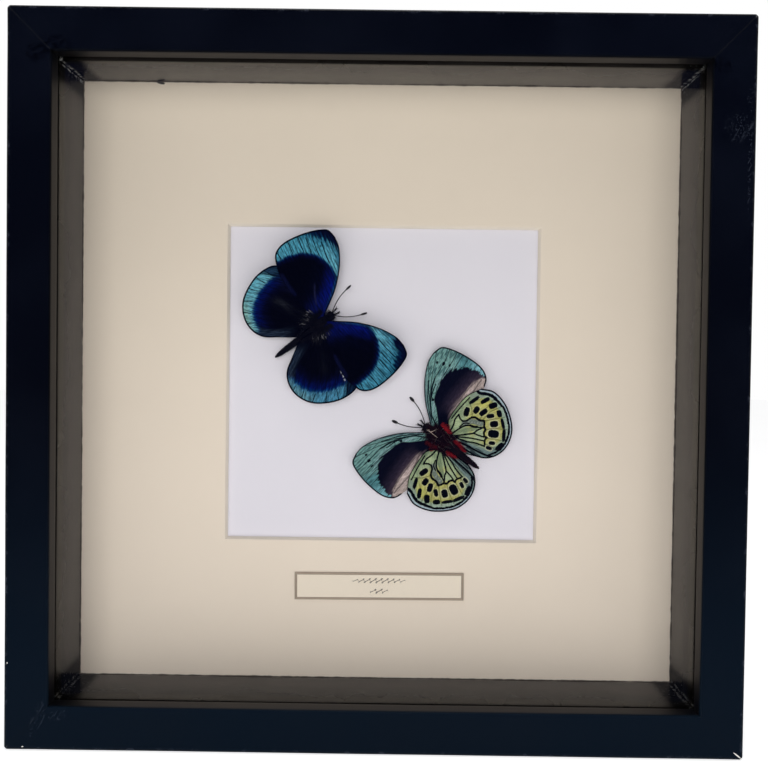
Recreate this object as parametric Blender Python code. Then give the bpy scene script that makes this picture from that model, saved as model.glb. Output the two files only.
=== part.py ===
"""Two mounted butterflies in a deep square box frame.

Metres, +Z up. The frame stands on its bottom rail and its glass faces -Y. The
origin is under the middle of the bottom rail, halfway through the frame's depth.
"""

import math

import bmesh
import bpy
import numpy as np

# ---- frame ----
MM = 0.001
OUTER = 0.250  # outside height and width
DEPTH = 0.045  # front face to wall
FACE_WIDTH = 0.015  # moulding seen from the front
WALL = 0.009  # moulding behind its lip
LIP = 0.0065  # lip in front of the glass
EASE = 0.0006  # eased edges of the moulding
TOUCH = 0.0003  # gap between pieces that touch
SHARP_EDGE = math.radians(40)  # edges that turn more than this stay sharp

# ---- the stack behind the lip ----
SHEET = 0.231  # glass, mat, card and back panel are squares of this size
GLASS_THICK = 0.002
SPACER_DEEP = 0.0256
SPACER_THICK = 0.005
SPACER_IN = 0.1102  # from the middle to a spacer's inner face
TOP_SAG = 0.0009  # the top spacer's front edge has sunk this much
MAT_THICK = 0.0014
CARD_THICK = 0.0015
BACK_THICK = 0.003

# ---- mat window, at the mat's front face, measured from the middle of the frame ----
WINDOW = {"left": -0.0573, "right": 0.0601, "bottom": -0.0593, "top": 0.0591}

# ---- label, on the mat ----
LABEL_WIDE = 0.063
LABEL_HIGH = 0.0102
LABEL_THICK = 0.0002
LABEL_PLACE = (0.0012, -0.0758)
LABEL_TURN = math.radians(0.35)

# ---- fixings at the back ----
POINT_SPREAD = 0.055  # each rail holds two points, this far from its middle
POINT_WIDE = 0.007
POINT_IN_RAIL = 0.005
POINT_OUT = 0.009
POINT_THICK = 0.0004
POINT_TIP = 0.001  # half the width of its tip
POINT_SHOULDER = 0.0028  # from the tip to its full width
POINT_CORNER = 0.002
HANGER_LONG = 0.046
HANGER_HIGH = 0.009
HANGER_THICK = 0.0008
HANGER_RISE = 0.0016  # the toothed bridge stands this far off the panel
HANGER_DROP = 0.022  # from the top of the frame to the hanger's middle
HANGER_RAMP = 0.002  # each end of the bridge slopes down over this length
HANGER_TEETH = 9
TOOTH_HIGH = 0.0016
SCREW_SPREAD = 0.0195
SCREW_SHANK = 0.001
SCREW_HEAD = 0.0022
SCREW_CROWN = 0.0012  # radius of the flat on top of the head
SCREW_TIP = 0.0003
SCREW_TAPER = 0.0009
HEAD_RIM = 0.0004
HEAD_HIGH = 0.001
HOLE_FLOOR = 0.0005  # board left in front of a screw's hole
HOLE_OVERRUN = 0.003

# ---- butterflies: distances along (towards the head) and beside the body's axis ----
WING_THICK = 0.0003
WING_GRID = (9, 13)  # points out along a wing and across it
WING_REACH = 0.030  # where a wing has risen by its full amount
WING_BEND = (1.3, -0.3)  # its rise, in steps of the distance and of its square
FOREWING_ROOT = (0.0046, 0.00305)
HINDWING_ROOT = (-0.0016, 0.0019)
FEELER_ROOT = (0.0066, 0.0007)
FEELER_LONG = 0.0122
FEELER_THICK = 0.0004
FEELER_BOW = 0.0009
FEELER_RISE = 0.0012
FEELER_SIDES = 8
BODY_SIDES = 12
THORAX_RADIUS = 0.00235
TAIL_START = 0.0025  # the abdomen leaves the body's axis over this length, twice
PAD_RADIUS = 0.0016
PAD_SIDES = 12

# Edge curves of a right wing in its own frame: x runs from the root to the farthest
# margin, y towards the leading edge. Each list is joined by a smooth curve.
FOREWING = {
    "lead": [(0, 1.2), (8, 3.9), (16, 5.0), (23, 4.4), (27.0, 2.6)],
    "margin": [
        (27.0, 2.6), (29.3, 0.0), (29.2, -3.4), (27.6, -8.6),
        (25.0, -13.8), (22.6, -16.9), (20.2, -18.45), (18.2, -18.8), (16.2, -18.45),
    ],
    "trail": [(0, -1.8), (1.2, -6.6), (4, -10.7), (8.5, -14.6), (12.0, -16.9), (16.2, -18.45)],
}
HINDWING = {
    "lead": [(0.6, 2.2), (5, 8.0), (11, 13.0), (17.5, 15.0)],
    "margin": [
        (17.5, 15.0), (22.0, 13.0), (25.3, 8.0), (26.6, 2.0),
        (26.2, -3.6), (23.6, -8.4), (19.4, -11.4), (14.4, -12.0), (9.0, -9.8),
    ],
    "trail": [(1.6, -1.4), (2.4, -4.4), (4.6, -7.0), (9.0, -9.8)],
}

# Radius of the body at places along its axis, millimetres, from head to tail.
BODY_RADII = [
    (7.0, 0.3), (6.5, 1.0), (5.7, 1.45), (4.9, 1.3), (4.4, 1.15), (3.6, 1.8), (2.0, 2.3),
    (0.0, 2.35), (-2.0, 2.0), (-3.6, 1.4), (-4.8, 0.95), (-6.5, 1.15), (-10.0, 1.3),
    (-14.0, 1.2), (-18.0, 0.85), (-20.2, 0.25),
]

FRONT = -DEPTH / 2
GLASS_Y = FRONT + LIP + TOUCH
SPACER_Y = GLASS_Y + GLASS_THICK + TOUCH
MAT_Y = SPACER_Y + SPACER_DEEP + TOUCH
CARD_Y = MAT_Y + MAT_THICK + TOUCH
BACK_Y = CARD_Y + CARD_THICK + TOUCH
FIXING_Y = BACK_Y + BACK_THICK + TOUCH
MIDDLE_Z = OUTER / 2

# side is +1 where the insect's left lies anticlockwise of its head, seen from the front.
# Depths are from the card's face: the body's middle, each pair of wings, and how far
# the wings have risen 30 mm out from the body.
SPECIMENS = {
    "dorsal": {
        "place": (-0.0224, 0.0213),
        "heading": 37.3,
        "size": 1.0,
        "side": 1,
        "body": 0.0035,
        "tail_shift": -0.0009,
        "forewing": {"height": 0.0051, "left": 49.7, "right": 59.0},
        "hindwing": {"height": 0.0043, "left": 119.4, "right": 124.8},
        "rise": 0.0020,
        "feelers": {"left": 18, "right": 32},
    },
    "ventral": {
        "place": (0.0221, -0.0194),
        "heading": 142.9,
        "size": 0.96,
        "side": -1,
        "body": 0.0037,
        "tail_shift": 0.0006,
        "forewing": {"height": 0.0018, "left": 58.1, "right": 58.8},
        "hindwing": {"height": 0.0026, "left": 131.5, "right": 137.3},
        "rise": 0.0015,
        "feelers": {"left": 23, "right": 25},
    },
}


def clear_scene():
    for old in list(bpy.data.objects):
        bpy.data.objects.remove(old)


def make_material(name, colour, roughness, metallic=0.0, transmission=0.0):
    material = bpy.data.materials.new(name)
    material.use_nodes = True
    shader = material.node_tree.nodes["Principled BSDF"]
    shader.inputs["Base Color"].default_value = (*colour, 1.0)
    shader.inputs["Roughness"].default_value = roughness
    shader.inputs["Metallic"].default_value = metallic
    shader.inputs["Transmission Weight"].default_value = transmission
    material.diffuse_color = (*colour, 1.0)
    return material


def add_object(name, verts, faces, material, smooth=False):
    """One closed body, its faces turned outwards."""
    mesh = bpy.data.meshes.new(name)
    mesh.from_pydata([tuple(map(float, v)) for v in verts], [], faces)
    work = bmesh.new()
    work.from_mesh(mesh)
    bmesh.ops.recalc_face_normals(work, faces=work.faces)
    work.to_mesh(mesh)
    work.free()
    if smooth:
        mesh.shade_smooth()
        mesh.set_sharp_from_angle(angle=SHARP_EDGE)
    mesh.materials.append(material)
    thing = bpy.data.objects.new(name, mesh)
    bpy.context.scene.collection.objects.link(thing)
    return thing


def loft(name, rings, material, smooth=False):
    """A skin through equal rings of points, closed by a flat cap at each end."""
    rings = np.asarray(rings, float)
    count, sides = rings.shape[:2]
    faces = []
    for ring in range(count - 1):
        for side in range(sides):
            after = (side + 1) % sides
            low = ring * sides
            high = low + sides
            faces.append((low + side, low + after, high + after, high + side))
    faces.append(tuple(range(sides)))
    faces.append(tuple(range((count - 1) * sides, count * sides)))
    return add_object(name, rings.reshape(-1, 3), faces, material, smooth)


def rectangle(left, right, bottom, top, y):
    return [(left, y, bottom), (right, y, bottom), (right, y, top), (left, y, top)]


def square_sheet(name, y, thick, material):
    half = SHEET / 2
    edges = (-half, half, MIDDLE_Z - half, MIDDLE_Z + half)
    rings = [rectangle(*edges, y), rectangle(*edges, y + thick)]
    return loft(name, rings, material)


def turn_about_middle(points, turn):
    """Rotates points about the frame's middle, in its plane; turn is in radians."""
    points = np.asarray(points, float)
    cos, sin = math.cos(turn), math.sin(turn)
    x = points[..., 0]
    z = points[..., 2] - MIDDLE_Z
    return np.stack([x * cos - z * sin, points[..., 1], x * sin + z * cos + MIDDLE_Z], -1)


def add_cutter(name, verts_rings):
    cutter = loft(name, verts_rings, None)
    cutter.hide_render = True
    cutter.display_type = "WIRE"
    return cutter


def cut(thing, cutter):
    boolean = thing.modifiers.new("Cut", "BOOLEAN")
    boolean.operation = "DIFFERENCE"
    boolean.solver = "EXACT"
    boolean.object = cutter


SIDES = {"bottom": 0.0, "right": math.pi / 2, "top": math.pi, "left": -math.pi / 2}


def build_rails(material):
    """Four mitred mouldings; each is the bottom one turned about the middle."""
    profile = [
        (EASE, 0.0), (FACE_WIDTH - EASE, 0.0), (FACE_WIDTH, EASE), (FACE_WIDTH, LIP),
        (WALL, LIP), (WALL, DEPTH - EASE), (WALL - EASE, DEPTH), (EASE, DEPTH),
        (0.0, DEPTH - EASE), (0.0, EASE),
    ]
    mitre_gap = TOUCH / math.sqrt(2)
    half = OUTER / 2 - mitre_gap
    slot_half = POINT_WIDE / 2 + TOUCH
    for side, turn in SIDES.items():
        ends = []
        for end in (-1, 1):
            ends.append([(end * (half - inset), FRONT + deep, inset) for inset, deep in profile])
        rail = loft("frame_rail_" + side, turn_about_middle(ends, turn), material)
        for place in (-POINT_SPREAD, POINT_SPREAD):
            edges = (
                place - slot_half, place + slot_half,
                WALL - POINT_IN_RAIL - TOUCH, WALL + TOUCH,
            )
            slot = [
                rectangle(*edges, FIXING_Y - TOUCH),
                rectangle(*edges, FIXING_Y + POINT_THICK + TOUCH),
            ]
            cut(rail, add_cutter("slot_cutter", turn_about_middle(slot, turn)))


def build_spacers(material):
    """Four strips lining the box; the top one is sunk in front and the sides fit under it."""
    inner = SPACER_IN
    outer = SPACER_IN + SPACER_THICK
    back_y = SPACER_Y + SPACER_DEEP
    floor_z = MIDDLE_Z - inner
    top_front = MIDDLE_Z + inner - TOP_SAG
    top_back = MIDDLE_Z + inner
    loft("spacer_bottom", [
        rectangle(-outer, outer, floor_z - SPACER_THICK, floor_z, SPACER_Y),
        rectangle(-outer, outer, floor_z - SPACER_THICK, floor_z, back_y),
    ], material)
    loft("spacer_top", [
        rectangle(-outer, outer, top_front, top_front + SPACER_THICK, SPACER_Y),
        rectangle(-outer, outer, top_back, top_back + SPACER_THICK, back_y),
    ], material)
    for side, left, right in (("left", -outer, -inner), ("right", inner, outer)):
        loft("spacer_" + side, [
            rectangle(left, right, floor_z + TOUCH, top_front - TOUCH, SPACER_Y),
            rectangle(left, right, floor_z + TOUCH, top_back - TOUCH, back_y),
        ], material)


def build_mat(material):
    """Square board with a square window whose edge is bevelled at 45 degrees."""
    half = SHEET / 2
    sheet = (-half, half, MIDDLE_Z - half, MIDDLE_Z + half)
    sides = (
        WINDOW["left"], WINDOW["right"], MIDDLE_Z + WINDOW["bottom"], MIDDLE_Z + WINDOW["top"],
    )
    inwards = (MAT_THICK, -MAT_THICK, MAT_THICK, -MAT_THICK)
    behind = [side + step for side, step in zip(sides, inwards)]
    loops = [
        rectangle(*sheet, MAT_Y), rectangle(*sides, MAT_Y),
        rectangle(*behind, MAT_Y + MAT_THICK), rectangle(*sheet, MAT_Y + MAT_THICK),
    ]
    faces = []
    for loop in range(4):
        for side in range(4):
            after = (side + 1) % 4
            near = loop * 4
            far = (loop + 1) % 4 * 4
            faces.append((near + side, near + after, far + after, far + side))
    add_object("mat_board", [point for loop in loops for point in loop], faces, material)


def build_label(material):
    corners = []
    for x, z in ((-1, -1), (1, -1), (1, 1), (-1, 1)):
        across = x * LABEL_WIDE / 2
        up = z * LABEL_HIGH / 2
        corners.append((
            LABEL_PLACE[0] + across * math.cos(LABEL_TURN) - up * math.sin(LABEL_TURN),
            MIDDLE_Z + LABEL_PLACE[1] + across * math.sin(LABEL_TURN) + up * math.cos(LABEL_TURN),
        ))
    back_y = MAT_Y - TOUCH
    rings = [[(x, y, z) for x, z in corners] for y in (back_y - LABEL_THICK, back_y)]
    loft("label", rings, material)


def build_points(material):
    """Eight flat steel points, two to a rail, pushed into slots behind the back panel."""
    half = POINT_WIDE / 2
    tip_z = WALL - POINT_IN_RAIL
    end_z = WALL + POINT_OUT
    shoulder_z = tip_z + POINT_SHOULDER
    number = 0
    for turn in SIDES.values():
        for place in (-POINT_SPREAD, POINT_SPREAD):
            number += 1
            outline = []
            for step, z in (
                (-POINT_TIP, tip_z), (POINT_TIP, tip_z), (half, shoulder_z),
                (half, end_z - POINT_CORNER), (half - POINT_CORNER, end_z),
                (POINT_CORNER - half, end_z), (-half, end_z - POINT_CORNER),
                (-half, shoulder_z),
            ):
                outline.append((place + step, z))
            rings = []
            for y in (FIXING_Y, FIXING_Y + POINT_THICK):
                rings.append([(x, y, z) for x, z in outline])
            loft("retaining_point_%d" % number, turn_about_middle(rings, turn), material)


def circle(x, z, radius, y, sides=16):
    angles = np.arange(sides) * 2 * math.pi / sides
    return np.stack(
        [x + radius * np.cos(angles), np.full(sides, y), z + radius * np.sin(angles)], -1)


def build_back(board, steel):
    """Back panel with its sawtooth hanger and the two screws that hold it."""
    panel = square_sheet("back_panel", BACK_Y, BACK_THICK, board)
    hanger_z = OUTER - HANGER_DROP
    foot_end = HANGER_LONG / 2
    bridge_end = SCREW_SPREAD - SCREW_HEAD - HANGER_RAMP
    teeth_end = bridge_end - HANGER_RAMP
    steps = [-foot_end, -bridge_end]
    steps += list(np.linspace(-teeth_end, teeth_end, 2 * HANGER_TEETH + 1))
    steps += [bridge_end, foot_end]
    rings = []
    for number, x in enumerate(steps):
        lift = HANGER_RISE if abs(x) < bridge_end else 0.0
        notch = TOOTH_HIGH if lift and number % 2 else 0.0
        low = hanger_z - HANGER_HIGH / 2 + notch
        high = hanger_z + HANGER_HIGH / 2
        near = FIXING_Y + lift
        far = near + HANGER_THICK
        rings.append([(x, near, low), (x, near, high), (x, far, high), (x, far, low)])
    plate = loft("hanger_plate", rings, steel)
    for side, x in (("left", -SCREW_SPREAD), ("right", SCREW_SPREAD)):
        bore = SCREW_SHANK + TOUCH
        blind = BACK_Y + HOLE_FLOOR
        hole = add_cutter("screw_cutter", [
            circle(x, hanger_z, bore, blind), circle(x, hanger_z, bore, FIXING_Y + HOLE_OVERRUN)])
        cut(panel, hole)
        cut(plate, hole)
        head_y = FIXING_Y + HANGER_THICK + TOUCH
        profile = [
            (blind + TOUCH, SCREW_TIP), (blind + SCREW_TAPER, SCREW_SHANK),
            (head_y, SCREW_SHANK), (head_y, SCREW_HEAD), (head_y + HEAD_RIM, SCREW_HEAD),
            (head_y + HEAD_HIGH, SCREW_CROWN),
        ]
        rings = [circle(x, hanger_z, radius, y) for y, radius in profile]
        loft("hanger_screw_" + side, rings, steel, smooth=True)


def smooth_curve(points, count):
    """Catmull-Rom curve through the points, read at even steps."""
    points = np.asarray(points, float)
    last = len(points) - 1
    padded = np.vstack([2 * points[0] - points[1], points, 2 * points[-1] - points[-2]])
    places = np.linspace(0, last, count)
    span = np.minimum(places.astype(int), last - 1)
    t = (places - span)[:, None]
    a, b, c, d = padded[span], padded[span + 1], padded[span + 2], padded[span + 3]
    return 0.5 * (
        2 * b + (c - a) * t + (2 * a - 5 * b + 4 * c - d) * t**2
        + (3 * b - a - 3 * c + d) * t**3
    )


def wing_plan(shape, out_steps, across_steps):
    """Coons patch between a wing's four edges, in metres: rows run out from the root."""
    lead = smooth_curve(shape["lead"], out_steps)[:, None]
    trail = smooth_curve(shape["trail"], out_steps)[:, None]
    margin = smooth_curve(shape["margin"], across_steps)[None]
    out = np.linspace(0, 1, out_steps)[:, None, None]
    across = np.linspace(0, 1, across_steps)[None, :, None]
    root = lead[:1] * (1 - across) + trail[:1] * across
    corners = (
        (1 - out) * root
        + out * ((1 - across) * lead[-1:] + across * trail[-1:])
    )
    patch = (1 - across) * lead + across * trail + (1 - out) * root + out * margin - corners
    return patch * MM


def to_world(specimen, along, beside, height):
    """From the body's axes to the frame's: height is above the card's face."""
    heading = math.radians(specimen["heading"])
    cos, sin = math.cos(heading), math.sin(heading)
    size = specimen["size"]
    x = specimen["place"][0] + size * (along * cos - beside * sin)
    z = MIDDLE_Z + specimen["place"][1] + size * (along * sin + beside * cos)
    return np.stack([x, CARD_Y - height + 0 * x, z], -1)


def build_wing(name, specimen, shape, root, wing, side, spread, material):
    """A thin curved sheet: the flat plan, lifted in step with its distance from the body."""
    plan = wing_plan(shape, *WING_GRID)
    angle = math.radians(spread)
    out, lead = plan[..., 0], plan[..., 1]
    along = root[0] + out * math.cos(angle) + lead * math.sin(angle)
    aside = root[1] + out * math.sin(angle) - lead * math.cos(angle)
    reach = aside / WING_REACH
    bend = WING_BEND[0] * reach + WING_BEND[1] * reach**2
    height = wing["height"] + specimen["rise"] * bend
    rows, columns = along.shape
    near = to_world(specimen, along, side * aside, height + WING_THICK / 2)
    far = to_world(specimen, along, side * aside, height - WING_THICK / 2)
    verts = np.concatenate([near.reshape(-1, 3), far.reshape(-1, 3)])
    index = np.arange(rows * columns).reshape(rows, columns)
    behind = index + rows * columns
    faces = []
    for sheet in (index, behind):
        quads = np.stack([sheet[:-1, :-1], sheet[:-1, 1:], sheet[1:, 1:], sheet[1:, :-1]], -1)
        quads = quads.reshape(-1, 4)
        faces += [tuple(q) for q in (quads if sheet is index else quads[:, ::-1]).tolist()]
    rim = np.concatenate([index[0], index[1:, -1], index[-1, -2::-1], index[-2:0:-1, 0]])
    for here, after in zip(rim.tolist(), np.roll(rim, -1).tolist()):
        skip = rows * columns
        faces.append((after, here, here + skip, after + skip))
    add_object(name, verts, faces, material, smooth=True)


def build_body(name, specimen, material):
    """Head, thorax and abdomen as one turned shape; the abdomen is set a little off axis."""
    angles = np.arange(BODY_SIDES) * 2 * math.pi / BODY_SIDES
    rings = []
    for place, radius in BODY_RADII:
        tail = min(max(-place * MM / TAIL_START - 1.0, 0.0), 1.0)
        centre = specimen["body"] + specimen["tail_shift"] * tail
        beside = radius * MM * np.cos(angles)
        height = centre + specimen["size"] * radius * MM * np.sin(angles)
        rings.append(to_world(specimen, np.full(BODY_SIDES, place * MM), beside, height))
    loft(name, rings, material, smooth=True)


def build_feeler(name, specimen, side, spread, material):
    """A thin bowed stem that ends in a slim club."""
    angle = math.radians(spread)
    places = np.array([0.0, 0.2, 0.4, 0.6, 0.76, 0.84, 0.9, 0.96, 1.0])
    widths = np.array([1.0, 1.0, 1.0, 1.0, 1.1, 1.7, 2.5, 2.2, 0.8])
    bow = FEELER_BOW * np.sin(math.pi * places)
    along = FEELER_ROOT[0] + FEELER_LONG * places * math.cos(angle) - bow * math.sin(angle)
    aside = FEELER_ROOT[1] + FEELER_LONG * places * math.sin(angle) + bow * math.cos(angle)
    lift = specimen["body"] + FEELER_RISE * places
    radii = FEELER_THICK / 2 * widths
    turn = np.arange(FEELER_SIDES) * 2 * math.pi / FEELER_SIDES
    rings = []
    for a, b, h, r in zip(along, aside, lift, radii):
        step_a = a - r * np.cos(turn) * math.sin(angle)
        step_b = side * (b + r * np.cos(turn) * math.cos(angle))
        rings.append(to_world(specimen, step_a, step_b, h + r * np.sin(turn)))
    loft(name, rings, material, smooth=True)


def build_pad(name, specimen, material):
    """The drop of glue between the thorax and the card."""
    middle = to_world(specimen, np.array(0.0), np.array(0.0), np.array(0.0))
    top = specimen["body"] - specimen["size"] * THORAX_RADIUS - TOUCH
    rings = []
    for height, share in ((TOUCH, 1.0), (top * 0.7, 0.9), (top, 0.6)):
        rings.append(circle(middle[0], middle[2], PAD_RADIUS * share, CARD_Y - height, PAD_SIDES))
    loft(name, rings, material, smooth=True)


def build_specimen(kind, specimen, wing_materials, body_material, glue):
    forewing, hindwing = wing_materials
    build_body(kind + "_body", specimen, body_material)
    build_pad(kind + "_glue_pad", specimen, glue)
    for hand, sign in (("left", 1), ("right", -1)):
        side = sign * specimen["side"]
        build_wing("%s_forewing_%s" % (kind, hand), specimen, FOREWING, FOREWING_ROOT,
                   specimen["forewing"], side, specimen["forewing"][hand], forewing)
        build_wing("%s_hindwing_%s" % (kind, hand), specimen, HINDWING, HINDWING_ROOT,
                   specimen["hindwing"], side, specimen["hindwing"][hand], hindwing)
        build_feeler("%s_antenna_%s" % (kind, hand), specimen, side,
                     specimen["feelers"][hand], body_material)


def main():
    clear_scene()
    lacquer = make_material("black_lacquer", (0.004, 0.006, 0.015), 0.25)
    glass = make_material("clear_glass", (1.0, 1.0, 1.0), 0.0, transmission=1.0)
    foil = make_material("black_foil", (0.008, 0.008, 0.009), 0.15)
    cream = make_material("cream_card", (0.66, 0.58, 0.47), 0.9)
    white = make_material("white_card", (0.82, 0.81, 0.82), 0.9)
    paper = make_material("label_paper", (0.72, 0.66, 0.53), 0.8)
    board = make_material("fibreboard", (0.32, 0.21, 0.12), 0.85)
    steel = make_material("steel", (0.55, 0.55, 0.56), 0.35, metallic=1.0)
    blue = make_material("blue_wing", (0.01, 0.03, 0.25), 0.5)
    teal = make_material("teal_wing", (0.10, 0.30, 0.30), 0.5)
    green = make_material("green_wing", (0.40, 0.45, 0.15), 0.6)
    dark = make_material("dark_body", (0.012, 0.009, 0.009), 0.7)
    glue = make_material("glue", (0.75, 0.74, 0.70), 0.3)
    build_rails(lacquer)
    square_sheet("glass_pane", GLASS_Y, GLASS_THICK, glass)
    build_spacers(foil)
    build_mat(cream)
    build_label(paper)
    square_sheet("mount_card", CARD_Y, CARD_THICK, white)
    build_back(board, steel)
    build_points(steel)
    build_specimen("dorsal", SPECIMENS["dorsal"], (blue, blue), dark, glue)
    build_specimen("ventral", SPECIMENS["ventral"], (teal, green), dark, glue)


main()
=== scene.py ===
"""Two mounted butterflies in a deep square box frame: the finished look.

Metres, +Z up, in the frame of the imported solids. The butterflies are laid out in
millimetres along and beside the body's axis, and turned to metres at the end.
"""

import math

import bmesh
import bpy
import numpy as np
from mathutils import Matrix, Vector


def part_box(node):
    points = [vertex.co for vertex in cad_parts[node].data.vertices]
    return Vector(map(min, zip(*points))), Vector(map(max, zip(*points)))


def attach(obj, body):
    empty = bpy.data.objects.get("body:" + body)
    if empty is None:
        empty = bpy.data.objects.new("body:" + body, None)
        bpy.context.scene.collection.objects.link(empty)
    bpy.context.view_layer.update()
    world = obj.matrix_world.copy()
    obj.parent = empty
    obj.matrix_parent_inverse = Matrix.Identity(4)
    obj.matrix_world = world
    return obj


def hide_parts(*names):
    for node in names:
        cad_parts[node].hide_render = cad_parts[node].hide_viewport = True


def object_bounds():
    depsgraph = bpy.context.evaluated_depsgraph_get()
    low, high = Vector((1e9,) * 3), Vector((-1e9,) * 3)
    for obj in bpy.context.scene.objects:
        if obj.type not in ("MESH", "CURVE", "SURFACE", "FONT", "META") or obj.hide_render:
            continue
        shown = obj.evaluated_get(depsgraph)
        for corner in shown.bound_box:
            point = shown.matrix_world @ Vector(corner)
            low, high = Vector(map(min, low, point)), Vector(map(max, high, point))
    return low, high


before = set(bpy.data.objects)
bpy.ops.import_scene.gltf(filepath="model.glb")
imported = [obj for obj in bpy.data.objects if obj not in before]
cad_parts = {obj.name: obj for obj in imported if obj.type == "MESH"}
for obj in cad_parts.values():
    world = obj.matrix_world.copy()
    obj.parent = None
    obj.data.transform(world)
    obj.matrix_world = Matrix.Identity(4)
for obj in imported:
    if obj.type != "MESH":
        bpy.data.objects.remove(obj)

bl_info = {
    "name": "Box-framed butterflies",
    "version": (1, 0, 0),
    "blender": (4, 5, 0),
    "location": "3D View > Sidebar > Box frame",
    "description": "Finishes a deep box frame that holds two mounted butterflies",
    "category": "Object",
}

CAD_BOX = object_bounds()
LEFT, RIGHT = CAD_BOX[0].x, CAD_BOX[1].x
FRONT, BACK = CAD_BOX[0].y, CAD_BOX[1].y
OUTER = RIGHT - LEFT
MIDDLE_Z = (CAD_BOX[0].z + CAD_BOX[1].z) / 2
MM = 0.001


# ---------------------------------------------------------------- settings

def colour_setting(name, description, red, green, blue):
    """A colour given as the 0-255 values a colour chart prints."""
    return bpy.props.FloatVectorProperty(
        name=name, description=description, size=3, subtype="COLOR", min=0, max=1,
        default=paint(red, green, blue)[:3])


def length_setting(name, description, default):
    return bpy.props.FloatProperty(
        name=name, description=description, default=default, min=0, unit="LENGTH", precision=5)


def share_setting(name, description, default):
    return bpy.props.FloatProperty(
        name=name, description=description, default=default, min=0, max=1, subtype="FACTOR")


def paint(red, green, blue):
    """Linear colour, with its alpha, from the 0-255 values of a colour chart."""
    chart = np.array([red, green, blue]) / 255
    linear = np.where(chart <= 0.04045, chart / 12.92, ((chart + 0.055) / 1.055) ** 2.4)
    return (*linear.tolist(), 1.0)


class LacquerSettings(bpy.types.PropertyGroup):
    colour: colour_setting("Lacquer", "Colour of the gloss lacquer", 4, 6, 13)
    wood: colour_setting("Bare wood", "Colour where the lacquer has chipped", 226, 222, 214)
    roughness: share_setting("Roughness", "Roughness of the lacquer", 0.22)
    edge: length_setting("Eased edge", "Radius of the moulding's outer edges", 0.0009)
    ripple: length_setting("Ripple", "How far the sprayed faces depart from flat", 0.00003)


class LiningSettings(bpy.types.PropertyGroup):
    colour: colour_setting("Lining", "Colour of the coated strips", 26, 23, 21)
    worn: colour_setting("Worn edge", "Colour where the coating has cracked", 150, 150, 148)
    roughness: share_setting("Roughness", "Roughness of the coating", 0.13)
    edge: length_setting("Edge", "Radius of the strips' long edges", 0.0003)


class MountSettings(bpy.types.PropertyGroup):
    mat: colour_setting("Mat", "Colour of the mat board's face", 240, 224, 206)
    core: colour_setting("Core", "Colour of the mat's cut core", 234, 222, 208)
    card: colour_setting("Card", "Colour of the mount card", 236, 230, 237)
    label: colour_setting("Label", "Colour of the label's paper", 244, 229, 209)
    border: colour_setting("Border", "Colour of the label's printed border", 172, 154, 136)
    ink: colour_setting("Ink", "Colour of the label's pen strokes", 58, 50, 42)
    border_width: length_setting("Border width", "Width of the printed border", 0.0009)
    board: colour_setting("Back board", "Colour of the fibreboard", 150, 112, 74)


class WingSettings(bpy.types.PropertyGroup):
    thickness: length_setting("Thickness", "Thickness of a wing between its veins", 0.00012)
    rib: length_setting("Vein height", "How far the veins stand proud", 0.00007)
    rib_width: length_setting("Vein width", "Half the width of a vein's swelling", 0.00016)
    pleat: length_setting("Pleat", "Depth of the gentle folds between veins", 0.00012)
    sheen: share_setting("Upper roughness", "Roughness of the upper sides' scales", 0.42)
    matt: share_setting("Under roughness", "Roughness of the undersides' scales", 0.6)


class InsectSettings(bpy.types.PropertyGroup):
    shell: colour_setting("Shell", "Colour of the bodies' horn", 9, 7, 10)
    hairs: bpy.props.IntProperty(
        name="Hairs", description="Hairs on one body", default=4200, min=0, max=9000)
    hair: length_setting("Hair length", "Length of the body's hairs", 0.0014)
    hair_radius: length_setting("Hair radius", "Radius of a hair at its root", 0.000032)


class StageSettings(bpy.types.PropertyGroup):
    lens: bpy.props.FloatProperty(
        name="Lens", description="Focal length, in millimetres", default=43.415, min=1)
    distance: length_setting("Distance", "From the lens to the frame's face", 0.310)
    key: bpy.props.FloatProperty(
        name="Key light", description="Power of the light at the right", default=12.4, unit="POWER")
    fill: bpy.props.FloatProperty(
        name="Fill light", description="Power of the light at the left", default=12.0, unit="POWER")
    top: bpy.props.FloatProperty(
        name="Top light", description="Power of the light above", default=2.0, unit="POWER")


# ---------------------------------------------------------------- meshes

def grid_faces(rows, columns, around_rows=False, around_columns=False):
    """Quads between neighbours of a grid of points, which may close on itself either way."""
    index = np.arange(rows * columns).reshape(rows, columns)
    if around_rows:
        index = np.vstack([index, index[:1]])
    if around_columns:
        index = np.hstack([index, index[:, :1]])
    quads = np.stack([index[:-1, :-1], index[:-1, 1:], index[1:, 1:], index[1:, :-1]], -1)
    return quads.reshape(-1, 4)


def add_piece(name, points, faces, material, stands_for=(), smooth=40):
    """One mesh that rides on the frame. Faces are turned outwards; smooth is the sharpest
    angle, in degrees, that still shades as a curve."""
    mesh = bpy.data.meshes.new(name)
    mesh.from_pydata(np.asarray(points, float).reshape(-1, 3).tolist(), [], faces)
    work = bmesh.new()
    work.from_mesh(mesh)
    bmesh.ops.recalc_face_normals(work, faces=work.faces)
    work.to_mesh(mesh)
    work.free()
    if smooth:
        mesh.shade_smooth()
        mesh.set_sharp_from_angle(angle=math.radians(smooth))
    mesh.materials.append(material)
    piece = bpy.data.objects.new(name, mesh)
    bpy.context.scene.collection.objects.link(piece)
    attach(piece, "root")
    if stands_for:
        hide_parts(*stands_for)
    return piece


def set_values(piece, name, values):
    """Stores one number, or one colour, for each point of a piece."""
    values = np.asarray(values, np.float32)
    if values.ndim == 1:
        store = piece.data.attributes.new(name, "FLOAT", "POINT")
        store.data.foreach_set("value", values)
        return
    store = piece.data.attributes.new(name, "FLOAT_COLOR", "POINT")
    store.data.foreach_set("color", np.hstack([values, np.ones((len(values), 1))]).ravel())


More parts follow.
